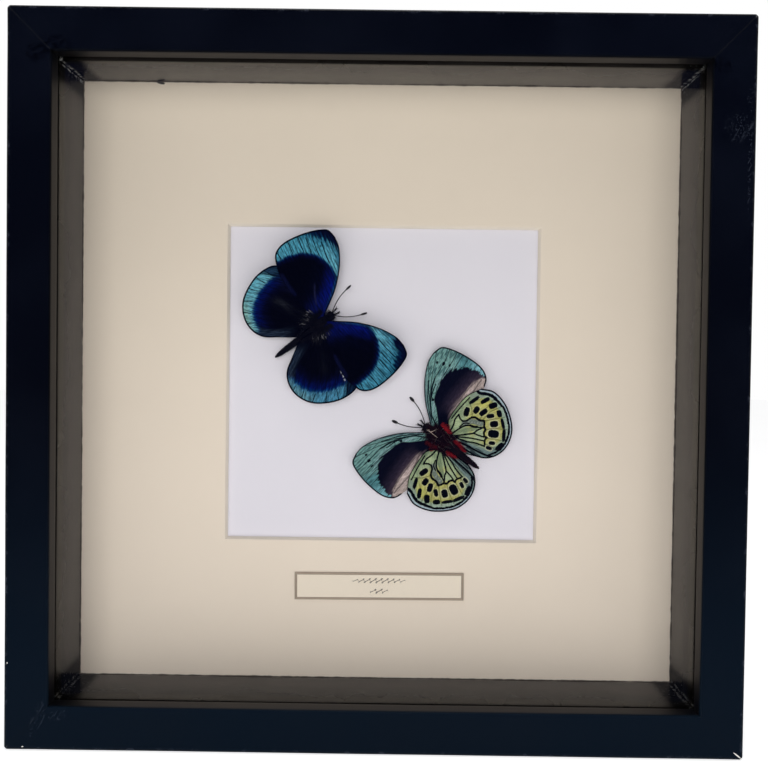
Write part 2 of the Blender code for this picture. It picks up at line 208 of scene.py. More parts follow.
def set_uv(piece, flat):
    """Lays a piece out flat: flat holds two coordinates for each of its points."""
    mesh = piece.data
    corners = np.zeros(len(mesh.loops), np.int32)
    mesh.loops.foreach_get("vertex_index", corners)
    layer = mesh.uv_layers.new(name="plan")
    layer.data.foreach_set("uv", np.asarray(flat, np.float32)[corners].ravel())


def tube_faces(rings, sides, count=1):
    """Quads and end caps of count equal tubes, each made of rings of sides points."""
    quads = grid_faces(rings, sides, around_columns=True)
    near = np.arange(sides)
    far = near + (rings - 1) * sides
    step = rings * sides
    faces = []
    for tube in range(count):
        faces += (quads + tube * step).tolist()
        faces += [(near + tube * step).tolist(), (far + tube * step).tolist()]
    return faces


def smooth_curve(points, count):
    """Catmull-Rom curve through the points, read at even steps: on each stretch the cubic
    that meets both its ends with the slope of the chord between their neighbours."""
    points = np.asarray(points, float)
    last = len(points) - 1
    padded = np.vstack([2 * points[0] - points[1], points, 2 * points[-1] - points[-2]])
    places = np.linspace(0, last, count)
    span = np.minimum(places.astype(int), last - 1)
    t = (places - span)[:, None]
    a, b, c, d = padded[span], padded[span + 1], padded[span + 2], padded[span + 3]
    return 0.5 * (
        2 * b + (c - a) * t + (2 * a - 5 * b + 4 * c - d) * t**2
        + (3 * b - a - 3 * c + d) * t**3)


def even_curve(points, count):
    """The same curve, read at even steps of its length."""
    line = smooth_curve(points, 60 * len(points))
    length = np.concatenate([[0], np.cumsum(np.linalg.norm(np.diff(line, axis=0), axis=1))])
    places = np.linspace(0, length[-1], count)
    return np.stack([np.interp(places, length, line[:, axis]) for axis in (0, 1)], -1)


def rounded_outline(corners, steps=6):
    """Closed outline of square corners, each replaced by a quarter circle. A corner is
    (across, deep, radius); the arc runs from one edge to the other by 1 - sin and 1 - cos."""
    turn = np.linspace(0, math.pi / 2, steps)[:, None]
    places = np.array([corner[:2] for corner in corners], float)
    arcs = []
    for number, (_, _, radius) in enumerate(corners):
        here = places[number]
        before = places[number - 1] - here
        after = places[(number + 1) % len(corners)] - here
        before = before / np.linalg.norm(before)
        after = after / np.linalg.norm(after)
        arc = here + radius * (before * (1 - np.sin(turn)) + after * (1 - np.cos(turn)))
        arcs.append(arc)
    return np.vstack(arcs)


def refine(outline, spacing):
    """Adds points along the long edges of a closed outline, no further apart than spacing."""
    parts = []
    for here, after in zip(outline, np.roll(outline, -1, 0)):
        count = max(1, int(np.linalg.norm(after - here) / spacing))
        parts.append(here + (after - here) * np.arange(count)[:, None] / count)
    return np.vstack(parts)


def waves(points, pitch, seed):
    """Smooth unevenness between -1 and 1: the mean of six sine waves of about that pitch,
    whose directions and phases follow from the seed."""
    chance = np.random.default_rng(seed)
    total = np.zeros(points.shape[:-1])
    for _ in range(6):
        direction = chance.normal(size=points.shape[-1])
        direction /= np.linalg.norm(direction)
        speed = 2 * math.pi / pitch * chance.uniform(0.6, 1.5)
        total += np.sin(points @ direction * speed + chance.uniform(0, 2 * math.pi))
    return total / 6


# ---------------------------------------------------------------- finishes

def start_finish(name):
    """A new material and the parts of its node tree that every finish uses."""
    material = bpy.data.materials.new(name)
    material.use_nodes = True
    tree = material.node_tree
    return material, tree, tree.nodes["Principled BSDF"]


def add_node(tree, kind, inputs=None, **settings):
    """A node with its settings; an input takes a value or another node's output."""
    node = tree.nodes.new(kind)
    for key, value in settings.items():
        setattr(node, key, value)
    for socket, value in (inputs or {}).items():
        if isinstance(value, bpy.types.NodeSocket):
            tree.links.new(value, node.inputs[socket])
        else:
            node.inputs[socket].default_value = value
    return node


def place_of(tree, stretch=(1, 1, 1), turn=(0, 0, 0), uv=False):
    """Coordinates of the piece, or of its own flat plan. A pattern read at them is drawn out
    by stretch along each axis, and then turned, in degrees."""
    source = add_node(tree, "ShaderNodeTexCoord").outputs["UV" if uv else "Object"]
    return add_node(tree, "ShaderNodeMapping", {
        "Vector": source, "Scale": stretch, "Rotation": [math.radians(a) for a in turn],
    }, vector_type="TEXTURE").outputs[0]


def noise(tree, vector, scale, detail=3.0, rough=0.5, distortion=0.0):
    return add_node(tree, "ShaderNodeTexNoise", {
        "Vector": vector, "Scale": scale, "Detail": detail, "Roughness": rough,
        "Distortion": distortion}).outputs["Fac"]


def level(tree, value, low, high, to_low=0.0, to_high=1.0):
    """value between low and high, eased at both ends, spread between two new limits."""
    return add_node(tree, "ShaderNodeMapRange", {
        "Value": value, "From Min": low, "From Max": high, "To Min": to_low, "To Max": to_high,
    }, interpolation_type="SMOOTHSTEP").outputs["Result"]


def work_out(tree, operation, first, second=0.0):
    return add_node(
        tree, "ShaderNodeMath", {0: first, 1: second}, operation=operation).outputs[0]


def times(tree, first, second):
    return work_out(tree, "MULTIPLY", first, second)


def plus(tree, first, second):
    return work_out(tree, "ADD", first, second)


def minus(tree, first, second):
    return work_out(tree, "SUBTRACT", first, second)


def greater(tree, first, second):
    return work_out(tree, "MAXIMUM", first, second)


def absolute(tree, value):
    return work_out(tree, "ABSOLUTE", value)


def axes(tree, vector):
    """The three numbers of a vector."""
    return tuple(add_node(tree, "ShaderNodeSeparateXYZ", {0: vector}).outputs)


def attribute(tree, name, output):
    return add_node(tree, "ShaderNodeAttribute", attribute_name=name).outputs[output]


def mix(tree, share, first, second, blend="MIX"):
    """Colours mixed by share, which is a number or an output."""
    node = add_node(tree, "ShaderNodeMix", {0: share}, data_type="RGBA", blend_type=blend)
    for socket, value in ((6, first), (7, second)):
        if isinstance(value, bpy.types.NodeSocket):
            tree.links.new(value, node.inputs[socket])
        else:
            node.inputs[socket].default_value = value
    return node.outputs[2]


def shade(colour, factor):
    """A colour made darker or lighter."""
    return (*[min(part * factor, 1.0) for part in colour[:3]], 1.0)


def relief(tree, shader, *heights):
    """Stacks height maps under the shader's normal: each is (height, distance in metres)."""
    normal = None
    for height, distance in heights:
        node = add_node(tree, "ShaderNodeBump", {"Height": height, "Distance": distance})
        if normal is not None:
            tree.links.new(normal, node.inputs["Normal"])
        normal = node.outputs[0]
    tree.links.new(normal, shader.inputs["Normal"])


def finish(tree, shader, **inputs):
    """Sets the shader's sockets by their names, with _ for a space."""
    for name, value in inputs.items():
        socket = shader.inputs[name.replace("_", " ")]
        if isinstance(value, bpy.types.NodeSocket):
            tree.links.new(value, socket)
        else:
            socket.default_value = value


def smear(tree, centre, size, turn=0.0, ragged=0.5, pitch=900.0, soft=0.15):
    """Share of a worn mark at each point of a face that looks along Y: an ellipse of the
    given half sizes and turn, in metres and degrees, whose rim is broken up by noise."""
    cos, sin = math.cos(math.radians(turn)), math.sin(math.radians(turn))
    place = add_node(tree, "ShaderNodeTexCoord").outputs["Object"]
    x, _, z = axes(tree, place)
    across, up = minus(tree, x, centre[0]), minus(tree, z, centre[1])
    squares = []
    for first, second, half in ((cos, sin, size[0]), (-sin, cos, size[1])):
        one = times(tree, across, first / half)
        two = times(tree, up, second / half)
        both = plus(tree, one, two)
        squares.append(times(tree, both, both))
    reach = plus(tree, *squares)
    broken = times(tree, noise(tree, place, pitch, 4.0, 0.7), ragged * 2)
    return level(tree, plus(tree, reach, broken), 1 + ragged + soft, 1 + ragged - soft)


# Chips, scuffs and touched-in patches on the frame's face: centre from the frame's left
# edge and foot, half sizes and turn. The first list is bare wood, the second dulled lacquer.
CHIPS = (
    ((0.2480, 0.0016), (0.00175, 0.00022), -38), ((0.0012, 0.0296), (0.00018, 0.00024), 0),
    ((0.0065, 0.0012), (0.00035, 0.00015), 10),
)
SCUFFS = (
    ((0.2443, 0.2125), (0.0046, 0.0044), 12), ((0.2476, 0.2225), (0.0010, 0.0028), 0),
    ((0.0115, 0.0105), (0.0020, 0.0065), -16), ((0.0180, 0.0120), (0.0034, 0.0016), 20),
    ((0.2478, 0.2050), (0.0006, 0.0200), 0),
)
TOUCHED_IN = (
    ((0.0162, 0.2357), (0.0062, 0.0042), -22), ((0.0096, 0.2343), (0.0030, 0.0034), 10),
    ((0.2380, 0.2330), (0.0034, 0.0022), -35),
)


def marks_of(tree, table, ragged, pitch, soft=0.15):
    """Greatest share of any mark in a table."""
    total = None
    for centre, size, turn in table:
        mark = smear(tree, (LEFT + centre[0], centre[1]), size, turn, ragged, pitch, soft)
        total = mark if total is None else greater(tree, total, mark)
    return total


def lacquer_finish(settings):
    """Sprayed lacquer: faint orange peel, fine scratches in the scuffs, brushed patches,
    bare wood at chips, a face painted lighter and bluer towards the foot as painted
    reflection of the bright room below, a painted highlight broken along the outer front
    edges, and a duller lip in front of the glass."""
    material, tree, shader = start_finish("navy_black_lacquer")
    place = place_of(tree)
    x, y, z = axes(tree, place)
    reach = greater(tree, absolute(tree, x), absolute(tree, minus(tree, z, MIDDLE_Z)))
    front = level(tree, y, FRONT + 0.0012, FRONT + 0.0008)
    inner = OUTER / 2 - FACE_WIDTH
    lip = level(tree, reach, inner + 0.0008, inner + 0.0002)
    cloud = noise(tree, place, 28, 4)
    body = mix(tree, level(tree, cloud, 0.35, 0.7), shade(settings.colour, 0.8),
               shade(settings.colour, 1.5))
    # painted reflection: the front face is painted lighter and bluer towards its foot, standing for the
    # bright room mirrored from below
    foot = level(tree, z, MIDDLE_Z, FACE_WIDTH)
    body = mix(tree, times(tree, foot, front), body, paint(8, 20, 32))
    brushed = marks_of(tree, TOUCHED_IN, 0.9, 380, 0.5)
    blots = level(tree, noise(tree, place, 620, 3, 0.6), 0.38, 0.62)
    body = mix(tree, times(tree, brushed, blots), body, shade(settings.colour, 0.25))
    scuffed = marks_of(tree, SCUFFS, 0.7, 420, 0.9)
    hairlines = noise(tree, place_of(tree, (1, 1, 14), (0, 28, 0)), 1300, 3, 0.6)
    flecks = level(tree, noise(tree, place, 1500, 3, 0.7), 0.56, 0.66)
    scratch = greater(tree, level(tree, hairlines, 0.58, 0.66), flecks)
    scratch = times(tree, scratch, scuffed)
    body = mix(tree, times(tree, scratch, 0.16), body, paint(88, 98, 118))
    # painted highlight: a faint pale broken line along the eased outer front edges, where they catch the
    # light
    painted_edge_highlight = times(tree, level(tree, reach, OUTER / 2 - 0.0016, OUTER / 2 - 0.0006),
                   level(tree, y, FRONT + 0.0022, FRONT + 0.0008))
    thin = level(tree, noise(tree, place, 330, 4, 0.7), 0.52, 0.68, 0.0, 0.22)
    body = mix(tree, times(tree, painted_edge_highlight, thin), body, paint(86, 92, 108))
    bare = times(tree, marks_of(tree, CHIPS, 0.25, 2600), front)
    colour = mix(tree, bare, body, (*settings.wood, 1))
    gloss = plus(tree, level(tree, cloud, 0.2, 0.8, -0.03, 0.04), settings.roughness)
    for share, change in ((scratch, 0.12), (bare, 0.5), (lip, 0.12)):
        gloss = plus(tree, gloss, times(tree, share, change))
    specular = level(tree, reach, inner + 0.0008, inner + 0.0002, 0.5, 0.08)
    finish(tree, shader, Base_Color=colour, Roughness=gloss, IOR=1.5, Specular_IOR_Level=specular)
    relief(tree, shader, (noise(tree, place, 700, 2), 0.000012),
           (noise(tree, place, 90, 3), 0.00006))
    return material


def lining_finish(settings, seam_axis):
    """Gloss coating, cracked pale along the box's corners, with painted shade that darkens it
    towards those corners and towards the bottom of the box. seam_axis says which way a
    strip's corners lie: X for the strips that run across, Z for the upright ones."""
    material, tree, shader = start_finish("coated_strip_" + seam_axis.lower())
    place = place_of(tree)
    x, y, z = axes(tree, place)
    reach = absolute(tree, x if seam_axis == "X" else minus(tree, z, MIDDLE_Z))
    wander = noise(tree, place, 240, 2)
    edge = plus(tree, reach, times(tree, wander, 0.0016))
    seam = SPACER_IN
    line = times(tree, level(tree, edge, seam - 0.0007, seam - 0.0002),
                 level(tree, edge, seam + 0.0009, seam + 0.0004))
    broken = level(tree, noise(tree, place, 620, 4, 0.75), 0.47, 0.58)
    above = level(tree, z, MIDDLE_Z - 0.02, MIDDLE_Z + 0.02, 0.35, 1.0)
    worn = times(tree, times(tree, line, broken), above)
    # near rises towards the box's corners; it carries the crumpled pale flecks and the painted shade of
    # the corners
    near = level(tree, reach, seam - 0.0105, seam - 0.0045)
    crumpled = level(tree, noise(tree, place, 900, 4, 0.8), 0.60, 0.70, 0.0, 0.4)
    worn = greater(tree, worn, times(tree, near, crumpled))
    smudge = noise(tree, place_of(tree, (1, 5, 1)), 60, 4)
    colour = mix(tree, level(tree, smudge, 0.4, 0.75), shade(settings.colour, 0.8),
                 shade(settings.colour, 1.4))
    # painted shade: the strips are darkened towards the bottom of the box, and their specular dulled there
    painted_bottom_shade = level(tree, z, FACE_WIDTH + 0.016, FACE_WIDTH + 0.004)
    # painted shade: the coating is darkened towards the box's corners
    colour = mix(tree, near, colour, shade(settings.colour, 0.15))
    colour = mix(tree, times(tree, painted_bottom_shade, 0.4), colour, shade(settings.colour, 0.2))
    colour = mix(tree, worn, colour, (*settings.worn, 1))
    deep = level(tree, y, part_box("spacer_right")[0].y, MAT_FRONT, 0.14, 0.0)
    gloss = level(tree, smudge, 0.3, 0.75, settings.roughness - 0.02, settings.roughness + 0.08)
    gloss = plus(tree, plus(tree, gloss, times(tree, worn, 0.4)), deep)
    specular = times(tree, level(tree, deep, 0.14, 0.0, 0.2, 0.45),
                     level(tree, painted_bottom_shade, 0.0, 1.0, 1.0, 0.65))
    specular = times(tree, specular, level(tree, near, 0.1, 1.0, 1.0, 0.1))
    finish(tree, shader, Base_Color=colour, Roughness=gloss, IOR=1.5, Specular_IOR_Level=specular)
    relief(tree, shader, (noise(tree, place, 160, 3), 0.00005), (worn, 0.00006))
    return material


def board_finish(name, colour, tone=0.06, grain=0.00004, fleck=0.0, deckle=None, painted_top_shade=0.0):
    """Matt paper or card: fibres a few tenths of a millimetre long, slow shifts of tone, a
    share of painted shade that darkens it towards the top, and, for the mat, darker nicks
    where its edges meet the lining and painted shade on the face near the lining."""
    material, tree, shader = start_finish(name)
    place = place_of(tree)
    slow = noise(tree, place, 14, 3)
    fibres = noise(tree, place_of(tree, (1, 1, 0.4), (0, 30, 0)), 2600, 4, 0.65)
    specks = noise(tree, place, 5200, 2)
    base = mix(tree, level(tree, slow, 0.3, 0.7), shade(colour, 1 - tone), shade(colour, 1 + tone))
    base = mix(tree, level(tree, fibres, 0.35, 0.75, 0.0, 0.5), base, shade(colour, 0.9))
    if fleck:
        base = mix(tree, level(tree, specks, 0.66, 0.74, 0.0, fleck), base, shade(colour, 0.55))
    x, _, z = axes(tree, place)
    # painted shade: the board is darkened, a little more in blue, towards the top of the frame
    if painted_top_shade:
        height = level(tree, z, MIDDLE_Z - 0.09, MIDDLE_Z + 0.11)
        darker = (1 - painted_top_shade, 1 - painted_top_shade, 1 - 1.15 * painted_top_shade, 1)
        base = mix(tree, height, base, mix(tree, 1.0, base, darker, "MULTIPLY"))
    if deckle:
        reach = greater(tree, absolute(tree, x), absolute(tree, minus(tree, z, MIDDLE_Z)))
        crumb = times(tree, noise(tree, place, 320, 4, 0.75), 0.0011)
        edge = level(tree, plus(tree, reach, crumb), deckle + 0.00035, deckle + 0.0006)
        base = mix(tree, edge, base, paint(70, 58, 48))
        nick = smear(tree, (-0.0819, MIDDLE_Z + 0.1099), (0.0016, 0.0005), -12, 0.3, 900)
        base = mix(tree, nick, base, paint(14, 10, 9))
        # painted shade: the mat's face darkens a little within 12 mm of the lining walls
        soft = level(tree, reach, deckle - 0.012, deckle, 0.0, 0.10)
        base = mix(tree, soft, base, shade(colour, 0.6))
    finish(tree, shader, Base_Color=base, Roughness=0.86, IOR=1.4)
    relief(tree, shader, (fibres, grain), (slow, grain * 4))
    return material


def label_finish(settings):
    """Laid paper with a printed border, mitred light and dark as a bevel would be. Reads
    the label's plan: across and up from its middle, in millimetres."""
    material, tree, shader = start_finish("label_paper")
    plan = add_node(tree, "ShaderNodeTexCoord").outputs["UV"]
    gaps = [minus(tree, size / 2 / MM, absolute(tree, place))
            for place, size in zip(axes(tree, plan), LABEL_SIZE)]
    inside = work_out(tree, "MINIMUM", *gaps)
    width = settings.border_width / MM
    band = level(tree, inside, width + 0.06, width - 0.04)
    inner = times(tree, level(tree, inside, width - 0.3, width - 0.12), band)
    side = level(tree, minus(tree, gaps[0], gaps[1]), -0.05, 0.05)
    grain = noise(tree, place_of(tree), 2400, 3)
    paper = mix(tree, level(tree, grain, 0.3, 0.75), (*settings.label, 1),
                shade(settings.label, 0.93))
    border = mix(tree, side, shade(settings.border, 0.94), shade(settings.border, 1.1))
    border = mix(tree, level(tree, grain, 0.35, 0.7), border, shade(settings.border, 0.86))
    border = mix(tree, times(tree, inner, 0.35), border, paint(92, 84, 70))
    rim = level(tree, inside, 0.14, 0.05)
    colour = mix(tree, band, paper, border)
    colour = mix(tree, times(tree, rim, 0.5), colour, paint(96, 88, 72))
    finish(tree, shader, Base_Color=colour, Roughness=0.75, IOR=1.45)
    relief(tree, shader, (grain, 0.00002), (band, 0.00002))
    return material


def plain_finish(name, colour, roughness, pitch=800, tone=0.25, metal=0.0, grain=0.00003, **more):
    """A finish whose colour and gloss drift with one noise, for small parts."""
    material, tree, shader = start_finish(name)
    drift = noise(tree, place_of(tree), pitch, 4, 0.6)
    base = mix(tree, level(tree, drift, 0.3, 0.7), shade(colour, 1 - tone),
               shade(colour, 1 + tone))
    gloss = level(tree, drift, 0.2, 0.8, roughness - 0.06, roughness + 0.08)
    finish(tree, shader, Base_Color=base, Roughness=gloss, Metallic=metal, **more)
    relief(tree, shader, (drift, grain))
    return material


def steel_finish():
    """Zinc-plated steel: drawn scratches and a faint spangle, a little dulled."""
    material, tree, shader = start_finish("zinc_steel")
    place = place_of(tree)
    drawn = noise(tree, place_of(tree, (20, 1, 1)), 2600, 3)
    spangle = noise(tree, place, 420, 3, 0.6)
    colour = mix(tree, level(tree, spangle, 0.35, 0.65), paint(150, 152, 156), paint(192, 193, 195))
    gloss = level(tree, drawn, 0.3, 0.7, 0.26, 0.46)
    finish(tree, shader, Base_Color=colour, Roughness=gloss, Metallic=1.0)
    relief(tree, shader, (drawn, 0.00001), (spangle, 0.00002))
    return material


def glass_finish():
    """Clear float glass."""
    material, tree, shader = start_finish("clear_glass")
    finish(tree, shader, Base_Color=paint(252, 254, 253), Roughness=0.0, IOR=1.5,
           Transmission_Weight=1.0)
    return material


def wing_finish(name, roughness, ink, flow, streak, tone, specular, **more):
    """Scaled wing. The tint attribute carries the ground colours and ink the distance, in
    millimetres, to the dark markings. flow is the slant of the fine streaks in degrees."""
    material, tree, shader = start_finish(name)
    ground = attribute(tree, "tint", "Color")
    edge = attribute(tree, "ink", "Fac")
    streaks = noise(tree, place_of(tree, (4.5, 1, 1), (0, 0, flow), uv=True), 2.6, 3, 0.6)
    scales = noise(tree, place_of(tree, uv=True), 7.5, 2, 0.7)
    rows = add_node(
        tree, "ShaderNodeTexWave", {
            "Vector": place_of(tree, uv=True), "Scale": 2.4, "Distortion": 3.0,
            "Detail": 2.0, "Detail Scale": 2.0},
        wave_type="BANDS", bands_direction="X").outputs["Fac"]
    dark = mix(tree, 1.0, ground, shade((1, 1, 1), 1 - streak), "MULTIPLY")
    colour = mix(tree, level(tree, streaks, 0.38, 0.62), dark, ground)
    dusted = mix(tree, 1.0, colour, shade((1, 1, 1), 1 - tone), "MULTIPLY")
    colour = mix(tree, level(tree, scales, 0.35, 0.65), dusted, colour)
    wobble = times(tree, minus(tree, scales, 0.5), 0.26)
    line = level(tree, plus(tree, edge, wobble), 0.16, 0.0)
    colour = mix(tree, line, colour, ink)
    gloss = level(tree, scales, 0.3, 0.7, roughness - 0.07, roughness + 0.1)
    finish(tree, shader, Base_Color=colour, Roughness=gloss, Specular_IOR_Level=specular, **more)
    relief(tree, shader, (rows, 0.00001), (streaks, 0.00003))
    return material


def body_finish(name, colour, second, pitch):
    """Horny skin under short scales, mottled between two colours."""
    material, tree, shader = start_finish(name)
    place = place_of(tree)
    patch = noise(tree, place, pitch, 4, 0.6)
    scales = add_node(
        tree, "ShaderNodeTexVoronoi", {"Vector": place, "Scale": 5200.0}).outputs["Distance"]
    base = mix(tree, level(tree, patch, 0.42, 0.66), (*colour[:3], 1), second)
    base = mix(tree, level(tree, scales, 0.1, 0.6, 0.0, 0.5), base, shade(colour, 0.5))
    finish(tree, shader, Base_Color=base, Roughness=0.6, Specular_IOR_Level=0.12)
    relief(tree, shader, (scales, 0.00004), (patch, 0.00008))
    return material


# ---------------------------------------------------------------- frame

SPACER_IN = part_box("spacer_right")[0].x
MAT_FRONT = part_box("mat_board")[0].y
CARD_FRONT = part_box("mount_card")[0].y
FACE_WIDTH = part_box("frame_rail_bottom")[1].z
WALL = 0.009  # thickness of the moulding behind its lip
LIP = 0.0065  # depth of the lip in front of the glass
WINDOW = {"left": -0.0567, "right": 0.0595, "bottom": -0.0590, "top": 0.0585}
BEVEL = 0.65  # how far the window's cut runs inwards, as a share of the mat's thickness
LABEL_SIZE = (0.063, 0.0102)
LABEL_PLACE = (0.0012, -0.0758)
LABEL_TURN = math.radians(0.35)
LABEL_GRID = (18, 90)  # points up the label and across it
FLOURISHES = (  # length, half height, distance above the label's middle, loops
    (0.0200, 0.00090, 0.0021, 9),
    (0.0068, 0.00085, -0.0018, 3))
CARD_SIDE_STEPS = 60  # points along each side of the mat and its window
SIDES = {"bottom": 0.0, "right": math.pi / 2, "top": math.pi, "left": -math.pi / 2}
RAIL_STEPS = 161  # points along a rail, closer together towards its ends
CORNER = 0.0012  # radius of the frame's outer corners
HAIRLINE = 0.00003  # half of the gap between two rails at their mitre


def turn_about_middle(points, turn):
    """Rotates points about the frame's middle, in its plane; turn is in radians."""
    cos, sin = math.cos(turn), math.sin(turn)
    x = points[..., 0]
    z = points[..., 2] - MIDDLE_Z
    return np.stack([x * cos - z * sin, points[..., 1], x * sin + z * cos + MIDDLE_Z], -1)


class BOXFRAME_OT_rails(bpy.types.Operator):
    """Four mitred mouldings with eased edges under gloss lacquer"""

    bl_idname = "boxframe.rails"
    bl_label = "Frame rails"

    def execute(self, context):
        """Each rail is the moulding's outline carried from mitre to mitre: a point that is
        inset from the outside lies at s times (half the frame less its inset) along the
        rail, s from -1 to 1. The faces then wander by a ripple that dies at the mitres, and
        the frame's corners are rounded by drawing the square's corner in to a circle."""
        settings = context.scene.lacquer
        material = lacquer_finish(settings)
        edge = settings.edge
        depth = BACK - FRONT
        outline = refine(rounded_outline([
            (0, 0, edge), (FACE_WIDTH, 0, edge * 0.8), (FACE_WIDTH, LIP, 0.0003),
            (WALL, LIP, 0.0002), (WALL, depth, 0.0005), (0, depth, edge)]), 0.0012)
        middle = outline.mean(0)
        along = np.sin(np.linspace(-1, 1, RAIL_STEPS) * math.pi / 2)
        tuck = 0.00007 * np.exp(-(1 - np.abs(along)) * OUTER / 2 / 0.0002)
        for side, turn in SIDES.items():
            inset = outline[None, :, 0] + 0 * along[:, None]
            deep = outline[None, :, 1] + 0 * along[:, None]
            inset = inset + np.sign(middle[0] - inset) * tuck[:, None]
            deep = deep + np.sign(middle[1] - deep) * tuck[:, None]
            x = along[:, None] * (OUTER / 2 - HAIRLINE - inset)
            points = np.stack([x, FRONT + deep, inset], -1)
            ripple = settings.ripple * np.minimum(1, (1 - np.abs(along)) * 12)[:, None]
            inwards = ripple * (1 + waves(points, 0.05, 3 + len(side)))
            points[..., 1] += np.sign(middle[1] - deep) * inwards
            points[..., 2] += np.sign(middle[0] - inset) * inwards
            corner = OUTER / 2 - CORNER
            past = np.maximum(np.abs(points[..., 0]) - corner, 0)
            below = np.maximum(MIDDLE_Z - points[..., 2] - corner, 0)
            round_off = np.maximum(past, below) / np.maximum(np.hypot(past, below), 1e-9)
            both = (past > 0) & (below > 0)
            points[..., 0] -= np.where(both, np.sign(points[..., 0]) * past * (1 - round_off), 0)
            points[..., 2] += np.where(both, below * (1 - round_off), 0)
            add_piece("rail_" + side, turn_about_middle(points, turn),
                      tube_faces(len(along), len(outline)), material,
                      ["frame_rail_" + side], smooth=30)
        return {"FINISHED"}


class BOXFRAME_OT_glass(bpy.types.Operator):
    """The clear pane behind the lip"""

    bl_idname = "boxframe.glass"
    bl_label = "Glass"

    def execute(self, context):
        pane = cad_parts["glass_pane"]
        pane.data.materials.clear()
        pane.data.materials.append(glass_finish())
        pane.visible_shadow = False
        pane.visible_diffuse = False
        pane.visible_glossy = False
        return {"FINISHED"}


class BOXFRAME_OT_lining(bpy.types.Operator):
    """The four coated strips that line the box; the top one has sunk in front"""

    bl_idname = "boxframe.lining"
    bl_label = "Lining strips"

    def execute(self, context):
        """A strip is a rounded rectangle, across its thickness and its depth, carried along
        the strip. Its inner face bows by a slow wave, and the top strip's front edge sags."""
        settings = context.scene.lining
        finishes = {axis: lining_finish(settings, axis) for axis in "XZ"}
        for side, turn in SIDES.items():
            low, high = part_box("spacer_" + side)
            lies = side in ("bottom", "top")
            thick = (high.z - low.z) if lies else (high.x - low.x)
            long = (high.x - low.x) if lies else (high.z - low.z)
            sag = 0.0
            if side == "top":
                sag = thick - (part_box("spacer_bottom")[1].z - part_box("spacer_bottom")[0].z)
                thick -= sag
            deep = high.y - low.y
            outline = refine(rounded_outline([
                (0, 0, settings.edge), (thick, 0, settings.edge), (thick, deep, settings.edge),
                (0, deep, settings.edge)], 5), 0.0015)
            along = np.linspace(-1, 1, 121)[:, None]
            x = along * long / 2 + 0 * outline[None, :, 0]
            if lies:
                x = x + (low.x + high.x) / 2
            else:
                x = x + ((low.z + high.z) / 2 - MIDDLE_Z) * (1 if side == "right" else -1)
            out = outline[None, :, 0] + 0 * along
            y = low.y + outline[None, :, 1] + 0 * along
            points = np.stack([x, y, MIDDLE_Z - SPACER_IN - thick + out], -1)
            if not lies:
                top_end = along * (1 if side == "right" else -1) > 0
                slope = (along if side == "right" else -along) * (1 - (y - low.y) / deep)
                points[..., 0] -= np.where(top_end, 0.0009 * slope, 0) * np.sign(along)
            bow = 0.00012 * (1 + waves(points * (1, 0.4, 1), 0.09, 20 + len(side)))
            points[..., 2] -= bow * (out > thick / 2)
            points[..., 2] += sag * (1 - (y - low.y) / deep)
            add_piece("lining_" + side, turn_about_middle(points, turn),
                      tube_faces(len(along), len(outline)), finishes["X" if lies else "Z"],
                      ["spacer_" + side], smooth=30)
        return {"FINISHED"}


def square_path(left, right, bottom, top, steps):
    """Points round a rectangle, anticlockwise, with steps points on each side."""
    t = np.arange(steps) / steps
    across = np.concatenate([left + (right - left) * t, np.full(steps, right),
                             right + (left - right) * t, np.full(steps, left)])
    up = np.concatenate([np.full(steps, bottom), bottom + (top - bottom) * t,
                         np.full(steps, top), top + (bottom - top) * t])
    return across, up


def add_slab(name, low, high, edge, material, slot, node, warp=0.0):
    """A sheet with eased edges. Rings of a square path run from the middle of the front to
    the middle of the back; a ring's inset from the sheet's edge and its depth follow a
    rounded outline, and a closing face fills the middle of each side."""
    thick = high.y - low.y
    half = min(high.x - low.x, high.z - low.z) / 2
    turn = np.linspace(0, math.pi / 2, 5)
    inset = np.concatenate([
        [half * 0.94], np.linspace(0.8, 0.1, 8) * half, edge * (1 - np.sin(turn)),
        edge * (1 - np.cos(turn)), np.linspace(0.1, 0.8, 8) * half, [half * 0.94]])
    deep = np.concatenate([
        np.zeros(9), edge * (1 - np.cos(turn)), thick - edge * (1 - np.sin(turn)),
        np.full(9, thick)])
    rings = []
    for step, depth in zip(inset, deep):
        across, up = square_path(low.x + step, high.x - step, low.z + step, high.z - step, 48)
        rings.append(np.stack([across, low.y + depth + 0 * across, up], -1))
    points = np.array(rings)
    points[..., 1] += warp * waves(points, 0.11, 5)
    return add_piece(name, points, tube_faces(*points.shape[:2]), material, [node])


